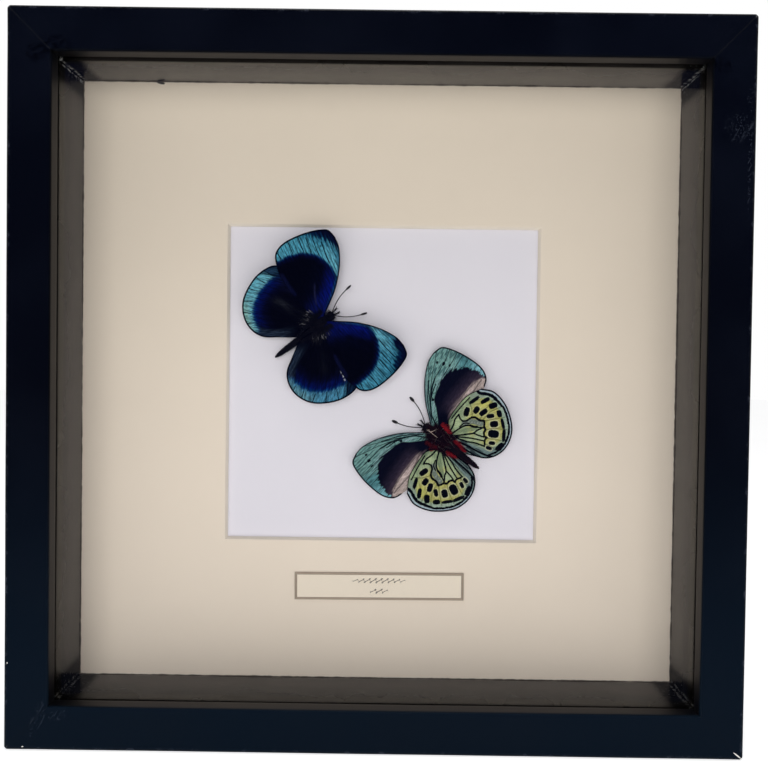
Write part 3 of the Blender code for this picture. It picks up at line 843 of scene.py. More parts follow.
class BOXFRAME_OT_mount(bpy.types.Operator):
    """The mat with its bevelled window, and the white card behind it"""

    bl_idname = "boxframe.mount"
    bl_label = "Mat and card"

    def execute(self, context):
        """The mat is an outline carried round a square: each ring lies between the mat's
        outer edge and the window's, and the last rings step inwards down the bevel."""
        settings = context.scene.mount
        face = board_finish("cream_mat", settings.mat, 0.02, 0.00002, 0.12, SPACER_IN, 0.16)
        core = board_finish("mat_core", settings.core, 0.03, 0.00002, painted_top_shade=0.12)
        low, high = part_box("mat_board")
        thick = high.y - low.y
        sides = (WINDOW["left"], WINDOW["right"], MIDDLE_Z + WINDOW["bottom"],
                 MIDDLE_Z + WINDOW["top"])
        outer = square_path(low.x, high.x, low.z, high.z, CARD_SIDE_STEPS)
        window = square_path(*sides, CARD_SIDE_STEPS)
        cut = BEVEL * thick
        bevel = square_path(sides[0] + cut, sides[1] - cut, sides[2] + cut, sides[3] - cut,
                            CARD_SIDE_STEPS)
        rings = []
        ahead = np.concatenate([np.linspace(0, 0.97, 30), [0.99, 0.9975]])
        slope = (0.02, 0.07, 0.2, 0.4, 0.6, 0.8, 0.94, 1.0)
        behind = np.linspace(0.06, 1, 12)
        for first, last, shares, face_y, deep in (
                (outer, window, ahead, low.y, 0), (window, bevel, slope, low.y, thick),
                (bevel, outer, behind, high.y, 0)):
            for share in shares:
                across, up = [a * (1 - share) + b * share for a, b in zip(first, last)]
                rings.append(np.stack([across, face_y + deep * share + 0 * across, up], -1))
        points = np.array(rings)
        seen = points[:-len(behind)]
        seen[..., 1] += 0.00005 * waves(seen, 0.12, 8)
        faces = grid_faces(*points.shape[:2], around_rows=True, around_columns=True)
        mat = add_piece("mat", points, faces.tolist(), face, ["mat_board"], 20)
        mat.data.materials.append(core)
        band = np.arange(len(faces)) // points.shape[1]
        sloped = (band >= len(ahead)) & (band < len(ahead) + len(slope) - 1)
        mat.data.polygons.foreach_set("material_index", sloped.astype(np.int32))
        card = board_finish("white_card", settings.card, 0.012, 0.00002, 0.04, painted_top_shade=0.14)
        add_slab("card", *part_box("mount_card"), 0.0002, card, "white_card", "mount_card", 0.00005)
        return {"FINISHED"}


def on_label(across, up, rise):
    """From the label's own middle, across and up, to the frame; rise is off its face."""
    cos, sin = math.cos(LABEL_TURN), math.sin(LABEL_TURN)
    return np.stack([
        LABEL_PLACE[0] + across * cos - up * sin,
        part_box("label")[0].y - rise + 0 * across,
        MIDDLE_Z + LABEL_PLACE[1] + across * sin + up * cos], -1)


class BOXFRAME_OT_label(bpy.types.Operator):
    """The paper label with its printed border and two plain pen flourishes"""

    bl_idname = "boxframe.label"
    bl_label = "Label"

    def execute(self, context):
        """The paper is a curled sheet: its middle stays down and its short ends lift by a
        square law. A flourish is a ribbon along a line of loops, x = a t + b sin 2wt and
        z = c sin wt, that swells and thins with the cosine of its direction."""
        settings = context.scene.mount
        wide, high = LABEL_SIZE
        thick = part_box("label")[1].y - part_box("label")[0].y
        rows, columns = LABEL_GRID
        across, up = np.meshgrid(np.linspace(-1, 1, columns), np.linspace(-1, 1, rows))
        lift = 0.00004 * across**2
        across, up = across * wide / 2, up * high / 2
        top = on_label(across, up, lift)
        under = on_label(across, up, lift - thick)
        count = rows * columns
        sheet = grid_faces(rows, columns)
        index = np.arange(count).reshape(rows, columns)
        rim = np.concatenate([index[0], index[1:, -1], index[-1, -2::-1], index[-2:0:-1, 0]])
        after = np.roll(rim, -1)
        edge = np.stack([rim, after, after + count, rim + count], -1)
        faces = np.vstack([sheet, sheet[:, ::-1] + count, edge])
        paper = add_piece(
            "label_card", np.vstack([top.reshape(-1, 3), under.reshape(-1, 3)]),
            faces.tolist(), label_finish(settings), ["label"])
        flat = np.stack([across, up], -1).reshape(-1, 2) / MM
        set_uv(paper, np.vstack([flat, flat]))
        ink = plain_finish("brown_ink", (*settings.ink, 1), 0.6, 3000, 0.3)
        for number, (long, tall, middle, turns) in enumerate(FLOURISHES):
            t = np.linspace(-1, 1, 90 * turns)
            taper = np.cos(t * math.pi / 2) ** 0.35
            wave = t * turns * math.pi
            x = long / 2 * t + 0.42 * long / turns / 2 * np.sin(2 * wave) * taper
            z = middle + tall * np.sin(wave) * taper
            x = x + (z - middle) * 0.5
            path = np.stack([x, z], -1)
            along = np.gradient(path, axis=0)
            along /= np.linalg.norm(along, axis=1)[:, None]
            half = 0.00005 + 0.00014 * np.clip(along[:, 1], 0, 1) * taper
            beside = np.stack([-along[:, 1], along[:, 0]], -1) * half[:, None]
            left, right = path + beside, path - beside
            curl = lift.max() * t**2
            rings = np.stack([on_label(*line.T, rise) for line, rise in (
                (left, 0.00005 + curl), (path, 0.00007 + curl), (right, 0.00005 + curl),
                (path, 0.00001))], 1)
            add_piece("label_flourish_%d" % (number + 1), rings,
                      tube_faces(len(t), 4), ink)
        return {"FINISHED"}


class BOXFRAME_OT_back(bpy.types.Operator):
    """The fibreboard back, and steel for the points, hanger and screws"""

    bl_idname = "boxframe.back"
    bl_label = "Back and fittings"

    def execute(self, context):
        board = board_finish("fibreboard", context.scene.mount.board, 0.08, 0.00008, 0.5)
        add_slab("back_board", *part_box("back_panel"), 0.0004, board, "fibreboard",
                 "back_panel", 0.00006)
        steel = steel_finish()
        for name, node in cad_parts.items():
            if name.startswith(("retaining_point", "hanger")):
                node.data.materials.clear()
                node.data.materials.append(steel)
        return {"FINISHED"}


# ---------------------------------------------------------------- butterflies

# Edges of a right wing in its own plan, in millimetres: x runs out from the root, y
# towards the leading edge. Each list is joined by a smooth curve.
FOREWING = {
    "lead": [(-1.9, 0.6), (0, 1.2), (8, 3.9), (16, 5.0), (23, 4.4), (27.0, 2.6)],
    "margin": [
        (27.0, 2.6), (29.3, 0.0), (29.2, -3.4), (27.6, -8.6),
        (25.0, -13.8), (22.6, -16.9),
        (20.2, -18.45), (18.2, -18.8), (16.2, -18.45)],
    "trail": [(-3.3, -1.8), (-0.3, -6.2), (4, -10.7), (8.5, -14.6), (12.0, -16.9), (16.2, -18.45)],
    "root": (4.6, 3.05),
    "veins": [
        [(0, 0.7), (7, 2.9), (13, 4.1), (17, 4.9)],
        [(0, 0.3), (8, 2.1), (13, 2.9), (19, 3.6), (23, 4.2)],
        [(8, 2.1), (13, 2.2), (18, 2.2), (24, 1.7), (28.2, 1.6)],
        [(12, 2.2), (17, 1.2), (20, -0.2), (25, -2.4), (29.2, -3.7)],
        [(11.5, 0.2), (16, -0.9), (20, -2.9), (26, -5.7), (28.7, -6.7)],
        [(11.2, -1.8), (15.5, -3.3), (20.3, -5.4), (27.6, -8.9)],
        [(10.2, -3.0), (14.5, -5.4), (20.4, -8.3), (26.6, -11.2)],
        [(8, -2.9), (13, -7.4), (19.4, -12.1), (24.4, -14.7)],
        [(0, -0.5), (5, -2.2), (8, -2.9), (10.2, -3.0), (11.2, -1.8), (11.5, 0.2), (11.0, 2.1)],
        [(0, -1.1), (6, -6.2), (12, -11.8), (17.8, -16.6), (20.6, -18.9)]],
}
HINDWING = {
    "lead": [(-1.6, 0.9), (0.6, 2.6), (5, 8.0), (11, 13.0), (17.5, 15.0)],
    "margin": [
        (17.5, 15.0), (22.0, 13.0), (25.3, 8.0), (26.6, 2.0),
        (26.2, -3.6), (23.6, -8.4), (19.4, -11.4), (14.4, -12.0), (9.0, -9.8)],
    "trail": [(0.1, -2.5), (1.5, -4.9), (3.4, -7.2), (9.0, -9.8)],
    "root": (-1.6, 1.9),
    "veins": [
        [(1.6, 1.8), (4.5, 6.0), (9, 10.2), (14, 12.8), (18.6, 14.4)],
        [(2.4, 1.0), (6, 4.4), (10, 7.4), (15, 9.8), (19.5, 10.0), (24.2, 10.4)],
        [(6, 4.4), (10, 5.4), (16, 6.2), (21.6, 6.3), (25.9, 7.0)],
        [(3.4, 0.5), (8.6, 1.9), (13.6, 2.2), (18, 2.6), (22, 2.6), (26.5, 2.0)],
        [(3.6, -0.9), (11.5, -1.3), (16, -0.9), (21.8, -1.3), (26.1, -2.9)],
        [(11.5, -1.3), (15, -3.1), (20.2, -5.4), (24.8, -6.8)],
        [(3.6, -1.5), (8, -3.2), (13, -5.4), (18, -8.0), (22.0, -10.0)],
        [(3.4, -2.0), (8, -5.2), (13, -8.6), (17.4, -11.8)],
        [(3.0, -2.6), (5.5, -5.4), (9.5, -9.4)]],
}
FEELER_ROOT = (6.6, 0.7)
FEELER_LONG = 12.2
FEELER_RADIUS = 0.175
FEELER_GRID = (150, 14)  # points along a feeler and round it
LEG_GRID = (48, 10)  # the same for a leg
GLUE_GRID = (24, 40)  # the same for a drop of glue
SKIN_SIDES = 48  # points round a body
PALP_BRISTLES = 420  # how many stiff hairs stand on an insect's palps
WING_GRID = (170, 150)  # points of a wing, out from its root and across it
WING_REACH = 30  # distance from the body's axis at which a wing has risen in full
RIM_STEPS = 5  # steps of the grid over which a wing's thickness grows from its rim
WARP = 0.10  # how far a wing departs from its smooth rise, in slow waves
WARP_LONG = 9.0  # length of those waves

# Radius of the body at places along its axis, from head to tail.
BODY_RADII = [
    (7.0, 0.3), (6.5, 1.0), (5.7, 1.45), (4.9, 1.3), (4.4, 1.15), (3.6, 1.8), (2.0, 2.3),
    (0.0, 2.35), (-2.0, 2.0), (-3.6, 1.4), (-4.8, 0.95), (-6.5, 1.15), (-10.0, 1.3),
    (-14.0, 1.2), (-18.0, 0.85), (-20.2, 0.25)]

# side is +1 where the insect's left lies anticlockwise of its head, seen from the front.
# Heights are from the card's face: the body's middle, each pair of wings, and how far
# the wings have risen 30 mm out from the body.
SPECIMENS = {
    "dorsal": {
        "place": (-22.4, 21.3), "heading": 37.3, "size": 1.0, "side": 1,
        "body": 3.5, "tail_shift": -0.9, "rise": 2.0,
        "forewing": {"height": 5.1, "left": 49.7, "right": 59.0},
        "hindwing": {"height": 4.3, "left": 119.4, "right": 124.8},
        "feelers": {"left": 18, "right": 32}},
    "ventral": {
        "place": (22.1, -19.4), "heading": 142.9, "size": 0.96, "side": -1,
        "body": 3.7, "tail_shift": 0.6, "rise": 1.5,
        "forewing": {"height": 1.8, "left": 58.1, "right": 58.8},
        "hindwing": {"height": 2.6, "left": 131.5, "right": 137.3},
        "feelers": {"left": 23, "right": 25}},
}


def to_frame(specimen, along, beside, height):
    """From the body's axes, in millimetres, to the frame, in metres."""
    heading = math.radians(specimen["heading"])
    cos, sin = math.cos(heading), math.sin(heading)
    size = specimen["size"] * MM
    x = specimen["place"][0] * MM + size * (along * cos - beside * sin)
    z = MIDDLE_Z + specimen["place"][1] * MM + size * (along * sin + beside * cos)
    return np.stack(np.broadcast_arrays(x, CARD_FRONT - height * MM, z), -1)


def body_height(specimen, along):
    """Height of the body's middle: the abdomen is set a little off the thorax's axis."""
    return specimen["body"] + specimen["tail_shift"] * np.clip((-along - 2.5) / 2.5, 0, 1)


def curve_gap(points, curve, signed=False):
    """Distance from each point to a smooth curve: the least over its short chords. Signed,
    it is positive on the right of the curve's direction."""
    line = smooth_curve(curve, 12 * len(curve))
    start, step = line[:-1], np.diff(line, axis=0)
    away = points[:, None] - start[None]
    share = np.clip((away * step).sum(-1) / (step**2).sum(-1), 0, 1)
    gap = away - share[..., None] * step
    squares = (gap**2).sum(-1)
    nearest = squares.argmin(1)
    rows = np.arange(len(points))
    least = np.sqrt(squares[rows, nearest])
    if not signed:
        return least
    to_point, chord = gap[rows, nearest], step[nearest]
    return least * np.where(chord[:, 0] * to_point[:, 1] > chord[:, 1] * to_point[:, 0], -1, 1)


def lines_gap(points, lines):
    """Distance to the edge of the nearest of several lines, each (half width, places)."""
    return np.min([curve_gap(points, places) - half for half, places in lines], axis=0)


def spots_gap(points, spots):
    """Distance to the edge of the nearest spot: a spot is (x, y, half length, half width,
    turn), and its outline the curve |u/a|^3 + |v/b|^3 = 1."""
    gaps = []
    for x, y, long, wide, turn in spots:
        cos, sin = math.cos(math.radians(turn)), math.sin(math.radians(turn))
        across, up = points[:, 0] - x, points[:, 1] - y
        u = (across * cos + up * sin) / long
        v = (up * cos - across * sin) / wide
        gaps.append(((np.abs(u)**3 + np.abs(v)**3) ** (1 / 3) - 1) * min(long, wide))
    return np.min(gaps, axis=0)


def fade(value, low, high):
    """Share that rises smoothly from 0 at low to 1 at high."""
    t = np.clip((value - low) / (high - low), 0, 1)
    return t * t * (3 - 2 * t)


LEFT_SEED = 30  # seeds of the patterns' fine unevenness; the two sides differ
RIGHT_SEED = 230


def lay(ground, *layers):
    """Lays colours over the ground in turn: a layer is its share at each point, and its
    colour."""
    for share, *chart in layers:
        ground = ground + (np.array(paint(*chart)[:3]) - ground) * share[:, None]
    return ground


def streaked(points, slant, pitch, seed):
    """Fine waves that run along a slant, for streaks and the ragged edges of bands. A
    hyperbolic tangent brings them close to -1 and 1."""
    turn = math.radians(slant)
    across = points @ np.array([-math.sin(turn), math.cos(turn)])
    down = points @ np.array([math.cos(turn), math.sin(turn)])
    return np.tanh(3 * waves(np.stack([across, down / 9], -1), pitch, seed))


def measure(points, wing):
    """Distances the patterns are built from: to the margin and to the leading edge."""
    return curve_gap(points, wing["margin"]), curve_gap(points, wing["lead"])


def speckled(tint, points, slant, depth, seed):
    """Darkens streaks along a slant by a share, depth."""
    return tint * (1 - depth * fade(streaked(points, slant, 0.8, seed), -0.2, 0.9))[:, None]


def plain_ground(points, *chart):
    return lay(np.zeros((len(points), 3)), (np.ones(len(points)), *chart))


def upper_forewing(points, seed):
    """Velvet black with a blue sheen by the leading edge and a teal band inside the tip."""
    x, y = points.T
    margin, lead = measure(points, FOREWING)
    inner = curve_gap(points, [
        (10.6, 6.0), (13.4, 3.8), (15.6, 2.5), (17.4, 0.9), (18.8, -1.2), (20.0, -3.6),
        (20.5, -6.4), (20.4, -9.2), (19.7, -12.0), (18.6, -14.6), (17.2, -17.0), (16.0, -19.6)], True)
    inner = -inner + 0.24 * streaked(points, -24, 0.8, seed)
    tip = -curve_gap(points, [
        (17.4, 6.6), (20.6, 4.5), (22.8, 3.0), (24.5, 0.9), (25.5, -1.4), (26.1, -4.0),
        (26.7, -6.4), (27.1, -8.6), (27.4, -11.0)], True)
    tip = tip + 0.75 * streaked(points, -24, 0.9, seed + 1) * fade(tip, -2.8, -0.4)
    band = fade(inner, -0.4, 0.5) * fade(tip, 0.7, -0.4)
    tint = lay(
        plain_ground(points, 2, 1, 6),
        (fade(lead, 12, 5) * fade(x, 20, 12), 1, 2, 24),
        (fade(lead, 6.5, 1.6) * fade(x, 19, 12), 3, 18, 114),
        (0.8 * fade(x, 8, 0) * fade(lead, 9.5, 3), 6, 16, 84),
        (0.8 * fade(inner, -2.8, -0.6), 1, 6, 52),
        (0.85 * fade(inner, -1.1, -0.1), 4, 52, 108),
        (0.8 * fade(lead, 1.5, 0.6) * fade(x, -1, 8), 22, 66, 108),
        (band, *((84, 166, 190) if seed == LEFT_SEED else (74, 152, 180))),
        (0.8 * band * fade(y, -4, 3), 114, 190, 210),
        (0.75 * fade(lead, 1.3, 0.6) * band, 74, 110, 132),
        (0.7 * fade(tip, -3.0, -0.8) * fade(tip, 0.6, 0), 40, 112, 142),
        (fade(tip, -0.2, 0.8) * fade(inner, -0.5, 0.5), 3, 8, 40),
        (0.8 * fade(tip, 0.0, 0.5) * fade(tip, 2.4, 1.0) * fade(y, 3, -2), 4, 44, 84))
    tint = speckled(tint, points, -25, 0.62, seed + 2)
    grey = curve_gap(points, [(5.0, -10.8), (8.5, -13.6), (12, -16.0)])
    tint = lay(tint, (0.6 * fade(grey, 1.1, 0.2) * fade(x, 3, 6) * fade(x, 13.6, 11), 14, 18, 58))
    if seed == LEFT_SEED:
        glint = curve_gap(points, [(2.0, -2.7), (5.5, -3.5), (10.0, -3.8)])
        tint = lay(
            tint,
            (0.5 * fade(glint, 0.5, 0.05) * fade(x, 11, 7), 44, 46, 84),
            (0.8 * fade(np.hypot(x - 23.3, (y + 2.4) * 1.6), 0.7, 0.3), 10, 60, 84))
    veins = [(0.09, vein) for vein in FOREWING["veins"][3:]]
    line = lines_gap(points, veins) + 0.5 * fade(inner, 0.4, -0.6) + 0.5 * fade(tip, -1, 0.4)
    return tint, np.minimum(np.minimum(margin - 0.5, lead - 0.34), line)


def upper_hindwing(points, seed):
    """Brown-black, blue inside a scalloped teal band, with a grey inner margin."""
    x, y = points.T
    margin, _ = measure(points, HINDWING)
    inner = -curve_gap(points, [
        (16.8, 14.6), (18.6, 11.0), (20.4, 8.4), (21.6, 5.2), (22.4, 2.0), (22.4, -1.6),
        (21.8, -4.4), (20.6, -6.8), (18.9, -8.8), (16.8, -10.6), (15.2, -13.4)], True)
    inner = inner + 0.34 * streaked(points, -8, 0.8, seed + 5)
    band, worn = ((112, 186, 204), 0.7) if seed == LEFT_SEED else ((80, 146, 178), 0.3)
    dusk = fade(streaked(points, -14, 1.0, seed + 9), -0.1, 0.6)
    tint = lay(
        plain_ground(points, 3, 2, 8),
        (fade(inner, -7.5, -4.0) * fade(y, -9, -6), 2, 3, 30),
        (fade(inner, -4.8, -1.4) * fade(y, -10, -6.5), 1, 14, 84),
        (0.85 * fade(inner, -1.6, -0.2), 6, 56, 118),
        (fade(inner, -0.5, 0.6), *band),
        (worn * fade(inner, 0.2, 2.2) * fade(y, 1, -7), 156, 200, 184),
        (0.92 * fade(y, 8.4, 10.6) * fade(x, 14, 18), 10, 30, 70),
        (0.75 * dusk * fade(y, 8.0, 10.0) * fade(x, 13, 16), 4, 8, 26),
        (0.9 * fade(y, 5.5, 9) * fade(x, 19, 13), 14, 15, 44))
    tint = speckled(tint, points, -6, 0.56, seed + 6)
    grey = curve_gap(points, [(4.0, -5.6), (8.0, -8.6), (12.5, -10.8), (17.5, -11.8)])
    patch = np.exp(-((x - 11.0 - 0.6 * y) / 3.4)**2 - ((y - 1.8) / 1.5)**2)
    tint = lay(
        tint,
        (0.9 * fade(grey, 3.2, 0.6) * fade(x, 19, 15) * fade(x, 3, 11), 26, 38, 56),
        (0.5 * fade(streaked(points, -30, 0.7, seed + 7), 0.05, 0.5)
         * fade(grey, 3.0, 1.0) * fade(x, 5, 9), 64, 78, 98),
        ((0.8 if seed == LEFT_SEED else 0.2) * patch
         * fade(streaked(points, 18, 1.2, seed + 8), -1.4, 0.8), 38, 40, 46))
    # painted glints: small white specular flecks near where the forewing's trailing edge crosses
    if seed != LEFT_SEED:
        specks = spots_gap(points, [
            (15.2, 8.1, 0.45, 0.14, 20), (16.7, 8.8, 0.4, 0.2, 10), (18.1, 9.3, 0.3, 0.18, 30)])
        tint = lay(tint, (fade(specks, 0.12, -0.05), 196, 200, 214))
    veins = [(0.09, vein) for vein in HINDWING["veins"]]
    line = lines_gap(points, veins) + 0.5 * fade(inner, 0.5, -0.4)
    return tint, np.minimum(margin - 0.5, line)


def under_forewing(points, seed):
    """Teal with dark veins and three eye dots round a purple-black disc, buff behind."""
    x, y = points.T
    margin, lead = measure(points, FOREWING)
    disc = -curve_gap(points, [
        (-3.0, -2.6), (0.0, -2.2), (3.0, -1.5), (6.0, -0.7), (8.6, 0.3), (11.0, 0.1), (14.0, -0.8),
        (17.0, -1.8), (19.2, -3.1), (20.8, -5.2), (21.7, -7.8), (22.3, -10.2), (21.9, -12.8),
        (21.2, -15.2), (20.0, -17.8), (19.2, -21.0)], True)
    disc = disc + 0.5 * streaked(points, -22, 0.9, seed + 10) * fade(x, 10, 18)
    buff = curve_gap(points, [
        (-3.0, -6.6), (1.0, -6.2), (4, -6.2), (8, -7.9), (12, -10.3), (15.4, -12.8), (18.0, -15.2),
        (19.1, -17.2), (19.4, -21.0)], True)
    buff = buff + 0.25 * streaked(points, -34, 1.2, seed + 11)
    outer = streaked(points, -20, 0.8, seed + 12)
    inner = streaked(points, 6, 0.8, seed + 13)
    folds = lines_gap(points, [
        (0.10, [(2.6, -5.2), (6.6, -9.2), (9.6, -12.2), (14.0, -14.4), (18.4, -16.8)]),
        (0.06, [(5.6, -6.6), (10.0, -9.4), (14.6, -12.4), (17.8, -15.2)])])
    veins = [(0.05, vein) for vein in FOREWING["veins"][1:]]
    line = lines_gap(points, veins) + 0.5 * (1 - fade(disc, -0.1, 0.3))
    dots = spots_gap(points, [
        (23.3, 0.8, 0.40, 0.30, -15), (23.1, -1.7, 0.64, 0.46, -20), (22.7, -4.1, 0.46, 0.26, -20),
        (8.8, 0.9, 0.44, 0.40, 0)])
    costal = lines_gap(points, [
        (0.15, [(-0.6, -1.2), (3.4, 0.9), (8.4, 1.7), (13, 1.7), (17.4, 1.0)]),
        (0.10, [(0.0, 0.2), (5, 2.0), (10, 3.0), (16, 3.5)]),
        (0.11, [(8.7, 0.9), (10.6, 1.5), (15, 0.5)])])
    marks = np.min([dots, costal, line], axis=0)
    tint = lay(
        plain_ground(points, 124, 166, 160),
        (fade(y, -5, -9), 92, 146, 152),
        (fade(y, -11, -15), 138, 194, 204),
        (0.6 * fade(lead, 1.4, 0.4) * fade(x, 24, 14), 104, 116, 124),
        (0.7 * fade(disc, 2.4, 0.4) * fade(x, 11, 16) * fade(y, -8, -3), 142, 176, 178),
        (0.75 * fade(outer, 0.0, 0.9) * fade(x, 12, 20), 38, 80, 86),
        (0.7 * fade(inner, 0.0, 0.9) * fade(x, 17, 11), 38, 74, 84),
        (0.85 * np.exp(-((x - 6.0) / 2.3)**2 - ((y - 0.35) / 0.36)**2), 160, 186, 190),
        (1 - fade(disc, -0.1, 0.3), 8, 9, 26),
        (0.9 * fade(buff, -6.0, -1.6) * fade(x, 3, 9) * (disc < 0), 46, 38, 54),
        (0.8 * fade(buff, -2.4, -0.4) * fade(x, 3, 6) * (disc < 0), 70, 56, 68),
        (fade(buff, -0.6, 0.7) * fade(x, 2.6, 4.6), 212, 190, 184),
        (0.4 * fade(x, 13, 16) * fade(buff, 0.2, 1.0), 150, 138, 128),
        (0.6 * fade(buff, 1.6, 0.4) * fade(buff, -0.8, 0.2) * fade(x, 15, 8), 104, 88, 96),
        (0.6 * fade(buff, 3.2, 4.4), 168, 156, 146),
        (0.7 * fade(folds, 0.4, 0.0) * fade(buff, -0.2, 0.3), 74, 62, 60))
    return tint, np.minimum(np.minimum(margin - 0.46, lead - 0.26), marks)


UNDER_HIND_SPOTS = [
    (10.3, 7.2, 1.6, 0.92, 63), (14.1, 7.2, 1.3, 0.92, 46), (16.6, 5.8, 1.5, 0.88, 26),
    (19.0, 3.9, 1.22, 0.68, -2), (19.8, 0.6, 1.4, 1.08, -4), (18.9, -3.1, 1.9, 1.38, -18),
    (17.7, -6.5, 1.0, 0.58, -16), (16.2, -8.2, 0.95, 0.56, -32),
    (14.0, 11.1, 1.8, 0.56, 25), (18.1, 10.2, 1.6, 0.68, 20), (20.7, 7.7, 1.45, 0.98, 8),
    (22.5, 4.2, 0.8, 1.2, 6), (23.1, 0.1, 0.5, 1.65, 2), (22.7, -4.4, 0.56, 1.9, -14),
    (20.2, -8.3, 1.6, 0.62, 34),
]
UNDER_HIND_LINES = [
    (0.20, [(3.4, 0.0), (6.0, 1.2), (8.6, 2.0), (10.6, 1.8)]),
    (0.35, [(10.8, 1.7), (12.0, 1.0), (13.2, 0.7)]),
    (0.15, [(13.2, 0.6), (15.6, 0.0)]),
    (0.20, [(4.2, -1.1), (8.0, -1.3), (11.3, -1.4), (13.0, -0.6), (15.4, 0.0)]),
    (0.18, [(11.3, -1.4), (13.0, -2.5), (15.0, -3.6)]),
    (0.17, [(4.4, -1.5), (9.0, -2.8), (12.0, -3.9), (15.0, -5.2)]),
    (0.19, [(4.6, -2.0), (8.4, -4.2), (11.2, -5.2), (14.6, -7.2)]),
    (0.27, [(5.4, -3.8), (9.0, -6.5), (12.5, -9.3), (16.0, -11.4), (19.0, -12.0)]),
    (0.23, [(5.4, -5.4), (8.0, -7.8), (10.6, -10.2)]),
    (0.19, [(2.4, 0.6), (4.4, 3.2), (5.4, 5.2), (7.2, 6.8)]),
    (0.20, [(2.4, 1.0), (2.2, 3.0), (2.6, 5.2)]),
    (0.20, [(7.1, 6.7), (7.4, 5.0), (8.2, 3.9)]),
    (0.25, [(8.2, 3.9), (9.6, 3.8), (11.0, 4.4), (12.0, 4.7)]),
    (0.33, [(11.8, 4.7), (13.2, 4.4), (14.6, 3.1), (16.3, 2.5)]),
    (0.27, [(16.3, 2.5), (16.2, 1.4), (15.8, 0.2)]),
    (0.31, [(15.8, 0.3), (16.1, -0.9), (15.4, -1.9)]),
    (0.29, [(15.4, -1.8), (15.3, -3.2), (16.1, -4.1)]),
    (0.25, [(16.0, -4.1), (15.2, -4.9), (14.8, -6.6)]),
    (0.13, [(6.6, 2.0), (8.6, 3.0), (10.4, 2.6)]),
    (0.13, [(4.2, 5.8), (8.4, 9.4), (12.4, 12.4)]),
]


def under_hindwing(points, seed):
    """Yellow with two rows of black spots, green towards the root, blue-grey at the rim."""
    x, y = points.T
    margin, lead = measure(points, HINDWING)
    trail = curve_gap(points, HINDWING["trail"])
    rim = np.minimum(margin, lead + 4 * fade(x, 18, 15))
    yellow = fade(rim, 3.0, 4.2) * fade(np.hypot(x - 19.0, y - 2.2), 11.0, 8.0)
    olive = streaked(points, 14, 1.1, seed + 27)
    fans = fade(x, 10, 12.5) * fade(x, 15.6, 14.6) * fade(np.abs(y + 2.0), 3.6, 2.4)
    shaded = curve_gap(points, [(5.0, 0.0), (8.5, 0.4), (13.0, 0.3)])
    cell = curve_gap(points, [(8.6, 3.0), (11.5, 3.2), (15.0, 1.6)])
    slate = curve_gap(points, [(4.5, -4.6), (9.5, -7.6), (14.5, -10.4), (19.0, -10.4)])
    red = curve_gap(points, [(3.6, -3.8), (5.2, -5.4), (6.8, -7.4)])
    pale = spots_gap(points, [(a, b, c + 0.55, d + 0.55, e)
                              for a, b, c, d, e in UNDER_HIND_SPOTS[:8]])
    ribs = lines_gap(points, [
        (0.05, [(16.3, 2.4), (19.0, 2.5), (24.4, 2.4)]), (0.05, [(16, -0.9), (20, -1.2), (25, -2.6)]),
        (0.05, [(16.1, -4.2), (19.6, -5.4), (23.6, -7.6)]), (0.05, [(12.0, 4.7), (12.4, 8.0), (11.6, 12)]),
        (0.05, [(14.6, 3.2), (18.4, 7.6), (22.6, 10.8)]), (0.05, [(15.6, 2.8), (19.6, 5.6), (24.6, 6.8)]),
        (0.05, [(14.8, -6.4), (17.0, -7.6), (19.4, -10.6)])])
    tint = lay(
        plain_ground(points, 166, 182, 142),
        (0.7 * fade(waves(points, 3.2, seed + 20), -0.1, 0.4), 130, 146, 114),
        (fade(np.hypot((x - 6.0) / 2.2, (y - 4.2) / 1.8), 1.1, 0.6), 178, 192, 150),
        (yellow, 192, 188, 112),
        (0.7 * np.exp(-((x - 17.6) / 2.8)**2 - ((y - 8.2) / 2.6)**2), 208, 204, 112),
        (0.35 * yellow * fade(olive, 0.1, 0.9), 116, 112, 56),
        (fans, 176, 190, 152),
        (fade(rim, 3.7, 2.4), 166, 184, 166),
        (fade(rim, 1.4, 1.0) * fade(x, 10, 15), 176, 192, 202),
        (0.8 * fade(np.hypot((x - 15.8) / 3.4, (y - 12.6) / 1.2), 1.3, 0.8), 142, 156, 140),
        (0.8 * fade(shaded, 1.1, 0.5), 120, 136, 104),
        (fade(cell, 1.3, 0.7), 116, 126, 116),
        (0.6 * fade(cell, 0.9, 0.5) * fade(waves(points, 1.4, seed + 22), 0, 0.5), 172, 180, 170),
        (fade(slate, 3.0, 1.4), 116, 136, 134),
        (0.85 * fade(streaked(points, -34, 0.9, seed + 21), -0.1, 0.4)
         * fade(slate, 3.0, 1.6) * fade(x, 15, 12), 26, 38, 42),
        (0.7 * fade(lead, 2.4, 0.8) * fade(x, 12, 6), 92, 108, 88),
        (fade(np.hypot(x - 1.4, y - 2.8), 1.9, 1.2), 128, 20, 28),
        (fade(red, 1.2, 0.6), 132, 20, 26),
        ((0.3 + 0.4 * fade(y, 6, 0)) * fade(pale, 0.2, -0.2), 218, 216, 180),
        (0.75 * fade(ribs, 0.26, 0.0) * fade(margin, 1.8, 2.4), 88, 94, 50))
    tint = speckled(tint, points, 4, 0.16, seed + 24)
    upper = fade(y, 5, 9)
    second = np.abs(margin - 1.35 - 0.5 * upper - 0.2 * waves(points, 2.2, seed + 23))
    second = second - 0.34 - 0.18 * upper - 0.16 * waves(points, 0.9, seed + 25)
    second = second + fade(x, 15.5, 14.5)
    uneven = 0.10 * waves(points, 0.9, seed + 26)
    marks = np.min([spots_gap(points, UNDER_HIND_SPOTS) - 0.09 + uneven,
                    lines_gap(points, UNDER_HIND_LINES) - 0.05 + 0.5 * uneven,
                    second, margin - 0.5, trail - 0.2, lead - 0.2], axis=0)
    return tint, marks


